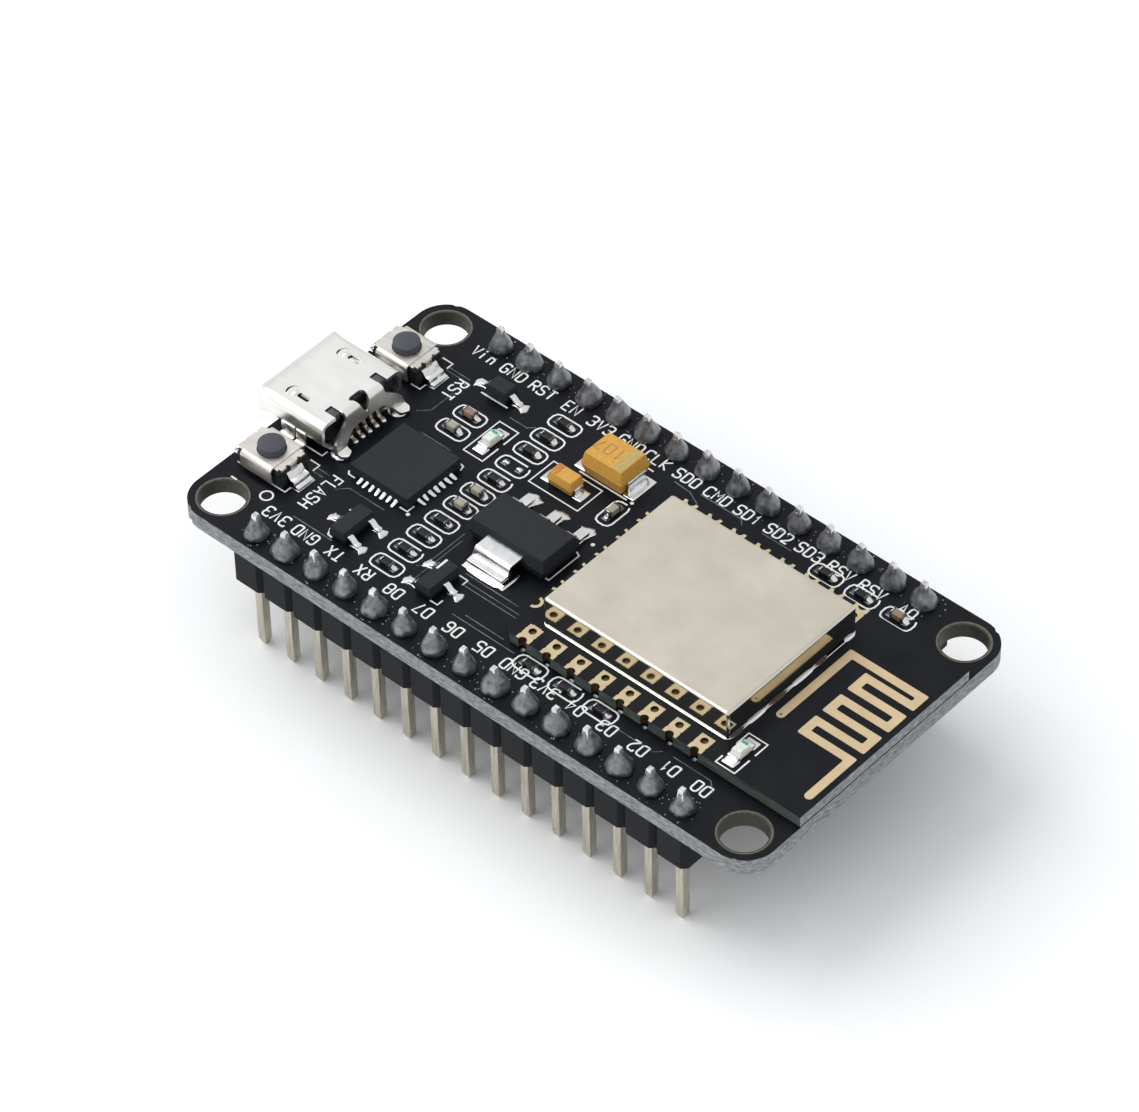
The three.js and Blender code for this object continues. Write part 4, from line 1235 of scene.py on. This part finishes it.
def gold_ring(bm, x, y, radius, bore, start=0, turn=360, burrs=0):
    """Adds a flat gold ring round a hole, or part of one, with a burr every so many degrees."""
    shape = bmesh.new()
    spoke = [shape.verts.new((r, 0, 0.03)) for r in (bore, radius)]
    first = shape.edges.new(spoke)
    bmesh.ops.rotate(shape, verts=spoke, matrix=Matrix.Rotation(math.radians(start), 3, "Z"))
    bmesh.ops.spin(
        shape, geom=spoke + [first], axis=(0, 0, 1), cent=(0, 0, 0), angle=math.radians(turn), steps=30,
        use_merge=turn == 360,
    )
    bmesh.ops.remove_doubles(shape, verts=shape.verts, dist=0.0005)
    outer = [v for v in shape.verts if v.co.length > (bore + radius) / 2] if burrs else []
    for vert in outer:
        around = math.degrees(math.atan2(vert.co.y, vert.co.x)) / burrs
        if abs(around - round(around)) < 0.1:
            vert.co *= 1.2
    drawn(shape, [e for e in shape.edges if e.is_boundary], (0, 0, -0.03))
    face_outward(shape)
    put(bm, shape, x, y, MODULE_TOP)


module = bmesh.new()
rim = ring(module, module_outline(), MODULE_TOP)
bores = [
    ring(module, circle(x, sign * (MODULE_HALF - HOLE_INSET), PAD_HOLE, 20), MODULE_TOP)
    for x in LAND_XS for _, sign in SIDES
]
fill(module, rim + sum(bores, []))
below = drawn(module, rim, (0, 0, MODULE_BOTTOM - MODULE_TOP), finish=1)
for bore in bores:
    below += drawn(module, bore, (0, 0, MODULE_BOTTOM - MODULE_TOP), finish=2)
fill(module, below)
# Half-hole and bore walls take the painted-shade plating, and the far end takes the pale routed edge.
for face in [f for f in module.faces if f.material_index == 1]:
    middle = face.calc_center_median()
    on_side = abs(abs(middle.y) - MODULE_HALF) < 1e-3
    on_near_end = abs(middle.x - MODULE_X) < 1e-3
    on_clip = middle.x < MODULE_X + 0.29 and abs(middle.y) >= 5.5
    if abs(middle.x - MODULE_X - MODULE_LENGTH) < 1e-3:
        face.material_index = 3
    elif not on_side and not on_near_end and not on_clip:
        face.material_index = 2
face_outward(module)
finishes = [mask, module_edge, hole_plating_painted_shade, cut_edge]
add_piece("module_laminate", module, finishes, replaces=["module_board"])

gold_lands = bmesh.new()
for _, sign in SIDES:
    for x in LAND_XS:
        put(gold_lands, gold_land(x, sign))
for y in END_YS:
    gold_ring(gold_lands, MODULE_X, y, 0.52, HALF_HOLE, -90, 180)
gold_ring(gold_lands, LAND_XS[0], HOLE_INSET - MODULE_HALF, 0.48, PAD_HOLE, burrs=60)
add_piece("module_gold_lands", gold_lands, [gold, tarnished])

joints = bmesh.new()
for _, sign in SIDES:
    for x in LAND_XS:
        lump = solder_fillet(hand.uniform(0.2, 0.26), hand.uniform(0.3, 0.4), 0.07)
        put(joints, lump, x, sign * (MODULE_HALF - 0.14), TOP, 90 * sign)
for y in END_YS:
    put(joints, solder_fillet(0.3, 0.55, 0.5), MODULE_X + 0.12, y, TOP, 180)
add_piece("module_solder_joints", joints, [solder], crease=50)

# ---- printed aerial -----------------------------------------------------------------------------
# A 0.6 mm trace folded back and forth, with a straight feed beside the can, drilled at its end, and a
# short tail along the outer edge.

AERIAL_WIDTH = 0.6
FEED_HOLE = 0.08


def ribbon(points, width, height, z):
    """A flat line along a path with mitred, slightly eased corners and round ends."""
    points = [Vector(p) for p in points]
    headings = [(b - a).normalized() for a, b in zip(points, points[1:])]
    sides = []
    for point, before, after in zip(points[1:-1], headings, headings[1:]):
        across = (before + after).orthogonal().normalized()
        reach = width / 2 / across.dot(after.orthogonal())
        sides.append((point + across * reach, point - across * reach))
    first, last = (math.degrees(math.atan2(h.y, h.x)) for h in (headings[0], headings[-1]))
    start = arc(*points[0], width / 2, first + 90, first + 270, 10)
    end = arc(*points[-1], width / 2, last - 90, last + 90, 10)
    there = [start[-1]] + [right for _, right in sides] + [end[0]]
    back = [end[-1]] + [left for left, _ in reversed(sides)] + [start[0]]
    outline = start[:-1] + eased(there, 0.12, 3) + end[1:-1] + eased(back, 0.12, 3)[:-1]
    bm = bmesh.new()
    edges = ring(bm, outline, z + height) + ring(bm, circle(*points[0], FEED_HOLE, 14), z + height)
    fill(bm, edges)
    drawn(bm, edges, (0, 0, -height))
    face_outward(bm)
    return bm


# The aerial's wide flat copper takes the gold thinly and more matt than the small lands.
matt_gold = mottled("matt_aerial_gold", "#c6ae88", "#d2bc97", 1.5, (0.5, 0.6), Metallic=0.1)

near_x, far_x = 19.72, 23.36
first_y = 3.44
fold_pitch = 1.18
zigzag = [(17.76, -2.3), (17.76, 4.38), (far_x, 4.38)]
for i in range(6):
    y = first_y - fold_pitch * i
    zigzag += [(far_x, y), (near_x, y)] if i % 2 == 0 else [(near_x, y), (far_x, y)]
zigzag += [(far_x, -6.3)]
aerial = ribbon(zigzag, AERIAL_WIDTH, 0.035, MODULE_TOP)
add_piece("printed_aerial", aerial, [matt_gold])

# ---- shielding can ------------------------------------------------------------------------------
# Deep-drawn nickel silver soldered over the radio chips. The lid is matt from the press, and the walls
# are ironed to a mirror. Its foot turns out to a thin bright line of solder.

CAN_LOW, CAN_HIGH = (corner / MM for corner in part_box("shield_can"))
CAN_X = (CAN_LOW.x + CAN_HIGH.x) / 2 - BOARD_MIDDLE.x / MM
CAN_SIZE = CAN_HIGH - CAN_LOW

# Pressed lid: satin champagne grey with soft cloudy stains from the reflow oven.
lid_metal = mottled("pressed_nickel_silver", "#c6bfb0", "#d2cbbe", 3.2, (0.4, 0.46), 0.0, Metallic=1)
# Ironed wall: the same metal, polished by the die, so it mirrors the lands beside it.
wall_metal = mottled("ironed_nickel_silver", "#d8d4c8", "#e2ded2", 3.2, (0.08, 0.11), Metallic=1)
# Burnt flux: thin glossy amber-brown varnish at the foot of the end wall.
flux = mottled("burnt_flux", "#1c140c", "#553a1f", 0.3, (0.15, 0.3), 0.01)
# The crystal's cover is plain bright nickel.
crystal_cover = mottled("nickel_crystal_cover", "#c9c9c6", "#e2e2df", 0.8, (0.2, 0.3), Metallic=1)


def can_shape():
    """The can: lid down over the rolled rim to the foot, then up inside."""
    bm = bmesh.new()
    length, width = CAN_SIZE.x, CAN_SIZE.y
    rise = CAN_SIZE.z
    corner = 0.35
    edges = ring(bm, rounded_outline(length - 0.36, width - 0.36, corner - 0.18, 5), rise)
    fill(bm, edges)
    levels = [(rise - 0.014, 0.11), (rise - 0.053, 0.053), (rise - 0.11, 0.014), (rise - 0.18, 0)]
    levels += [(0.3, 0), (0.1, 0), (0, 0), (0, 0.2), (rise - 0.2, 0.2)]
    inset = 0.18
    z = rise
    for number, (next_z, next_inset) in enumerate(levels):
        grow = inset_growth(length, width, inset, next_inset)
        edges = drawn(bm, edges, (0, 0, next_z - z), grow, finish=1 if number > 0 else 0)
        z, inset = next_z, next_inset
    fill(bm, edges)
    face_outward(bm)
    tools = [placed(block(1, 1.9, 0.3, 0.05), length / 2, 4.1, -0.1)]
    return placed(carved(bm, tools), CAN_X, 0, CAN_LOW.z)


add_piece("radio_shield", can_shape(), [lid_metal, wall_metal], replaces=["shield_can"])

foot = bmesh.new()
BEAD = 0.1
outer = Vector((CAN_SIZE.x + 2 * BEAD, CAN_SIZE.y + 2 * BEAD))
edges = ring(foot, rounded_outline(outer.x, outer.y, 0.45, 6, CAN_X, 0), MODULE_TOP)
for rise, inward in ((0.04, 0.0), (0.02, 0.04), (-0.01, 0.05), (-0.05, 0.01)):
    inner = outer - Vector((2 * inward, 2 * inward))
    edges = drawn(foot, edges, (0, 0, rise), (inner.x / outer.x, inner.y / outer.y, 1), (CAN_X, 0, 0))
    outer = inner
can_end = CAN_X + CAN_SIZE.x / 2
for y, wide in ((-3.4, 1.9), (0.9, 2.3), (5.4, 1.0)):
    put(foot, solder_fillet(0.19, wide, 0.26), can_end - 0.02, y, MODULE_TOP, finish=0)
for y, wide in ((-5.2, 1.3), (-1.4, 1.7), (2.7, 1.1)):
    put(foot, solder_fillet(0.2, wide, 0.22), can_end - 0.02, y, MODULE_TOP, finish=1)
face_outward(foot)
add_piece("shield_foot_solder", foot, [tin_plate, flux])

for node, material, slot, edge in (
    ("processor_chip", epoxy, "dark_epoxy", 0.02), ("flash_memory_chip", epoxy, "dark_epoxy", 0.12),
    ("crystal", crystal_cover, "can_steel", 0.06),
):
    low, high = (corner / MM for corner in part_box(node))
    size = high - low
    levels = [(0, edge), (edge / 2, 0), (size.z - edge, 0), (size.z, edge)]
    middle = (low + high) / 2 - BOARD_MIDDLE / MM
    inner_part = placed(stacked(size.x, size.y, 0.1, levels), middle.x, middle.y, low.z)
    add_piece(f"shielded_{node}", inner_part, [material], replaces=[node])

led("module_light", "module_led", 18.0, -6.3, MODULE_TOP)
stroke((17.3, -5.9), (17.3, -4.75), (18.8, -4.75), (18.8, -5.95), z=MODULE_TOP)
stroke((18.8, -6.45), (18.8, -7.85), (17.3, -7.85), (17.3, -7.2), z=MODULE_TOP)

# ---- printed lines ------------------------------------------------------------------------------
# Fine copper tracks show as ridges under the mask, the tantalum's value is burnt faintly into its lid,
# and all the ink strokes collected so far become the white legend.

# The mask is thinner and glossier where it is stretched over a track's edge. Its ridges are painted
# lighter: partly the tint of copper under the mask, partly a painted glint where the edges catch the light.
ridge_tint_and_painted_glint = mottled("mask_over_copper_painted_glint", "#1d2026", "#737880", 0.7, (0.2, 0.35))


def traces(name, paths, width, height, material):
    """Thin printed lines along flat paths, as one piece. paths are (points, z, closed)."""
    line = bpy.data.curves.new(name, "CURVE")
    line.dimensions = "3D"
    line.bevel_depth = width / 2
    line.bevel_resolution = 2
    line.use_fill_caps = True
    for points, z, closed in paths:
        spline = line.splines.new("POLY")
        spline.points.add(len(points) - 1)
        for dot, point in zip(spline.points, points):
            dot.co = (point[0], point[1], z * width / (2 * height), 1)
        spline.use_cyclic_u = closed
    holder = bpy.data.objects.new(name, line)
    scene.collection.objects.link(holder)
    bm = bmesh.new()
    bm.from_mesh(holder.evaluated_get(bpy.context.evaluated_depsgraph_get()).to_mesh())
    bpy.data.curves.remove(line)
    bmesh.ops.scale(bm, vec=(1, 1, 2 * height / width), verts=bm.verts)
    face_outward(bm)
    return add_piece(name, bm, [material], crease=60)


tracks = [
    [(-5.5, -5.35), (-1.0, -5.35)], [(-4.9, -5.85), (-0.4, -5.85), (0.2, -5.4)],
    [(-4.9, -6.2), (-0.4, -6.2)], [(-3.0, -8.05), (0.2, -8.05)], [(-3.7, -8.5), (1.5, -8.5)],
    [(-17.2, -8.75), (-13.8, -8.75)], [(-19.0, 7.8), (-17.2, 7.8)],
    [(-19.0, 7.5), (-17.4, 7.5), (-16.9, 7.0)], [(-19.0, -4.6), (-18.0, -4.6)],
    [(-19.0, -5.0), (-18.2, -5.0)], [(-16.3, 2.15), (-13.7, 2.15)],
    [(-12.9, 6.9), (-11.4, 6.9), (-11.0, 7.3)],
    [(-1.0, 9.4), (0.4, 9.3), (1.4, 8.8), (2.0, 8.1)], [(-16.9, -5.3), (-16.2, -4.6), (-13.2, -4.6)],
    [(-8.3, -6.9), (-7.9, -6.5), (-7.9, -2.8)], [(-8.0, -8.4), (-7.6, -8.0), (-7.6, -3.2)],
    [(1.0, 9.6), (4.4, 9.6), (4.8, 9.2)], [(6.2, 9.5), (8.6, 9.5)],
    [(9.6, -9.1), (13.4, -9.1), (13.8, -8.7)],
    [(14.6, -8.6), (17.6, -8.6), (18.3, -9.3)], [(-17.9, 3.4), (-17.2, 4.1), (-17.2, 6.2)],
]
paths = [([Vector(p) for p in track], TOP, False) for track in tracks]
traces("copper_tracks", paths, 0.07, 0.014, ridge_tint_and_painted_glint)

value = []
resin_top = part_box("tantalum_capacitor_large")[1].z / MM
write("107", -4.75, 7.45, 180, 0.95, value, resin_top + 0.002)
traces("burnt_value", value, 0.11, 0.01, lasered)
traces("white_legend", LEGEND, 0.13, 0.014, legend_ink)
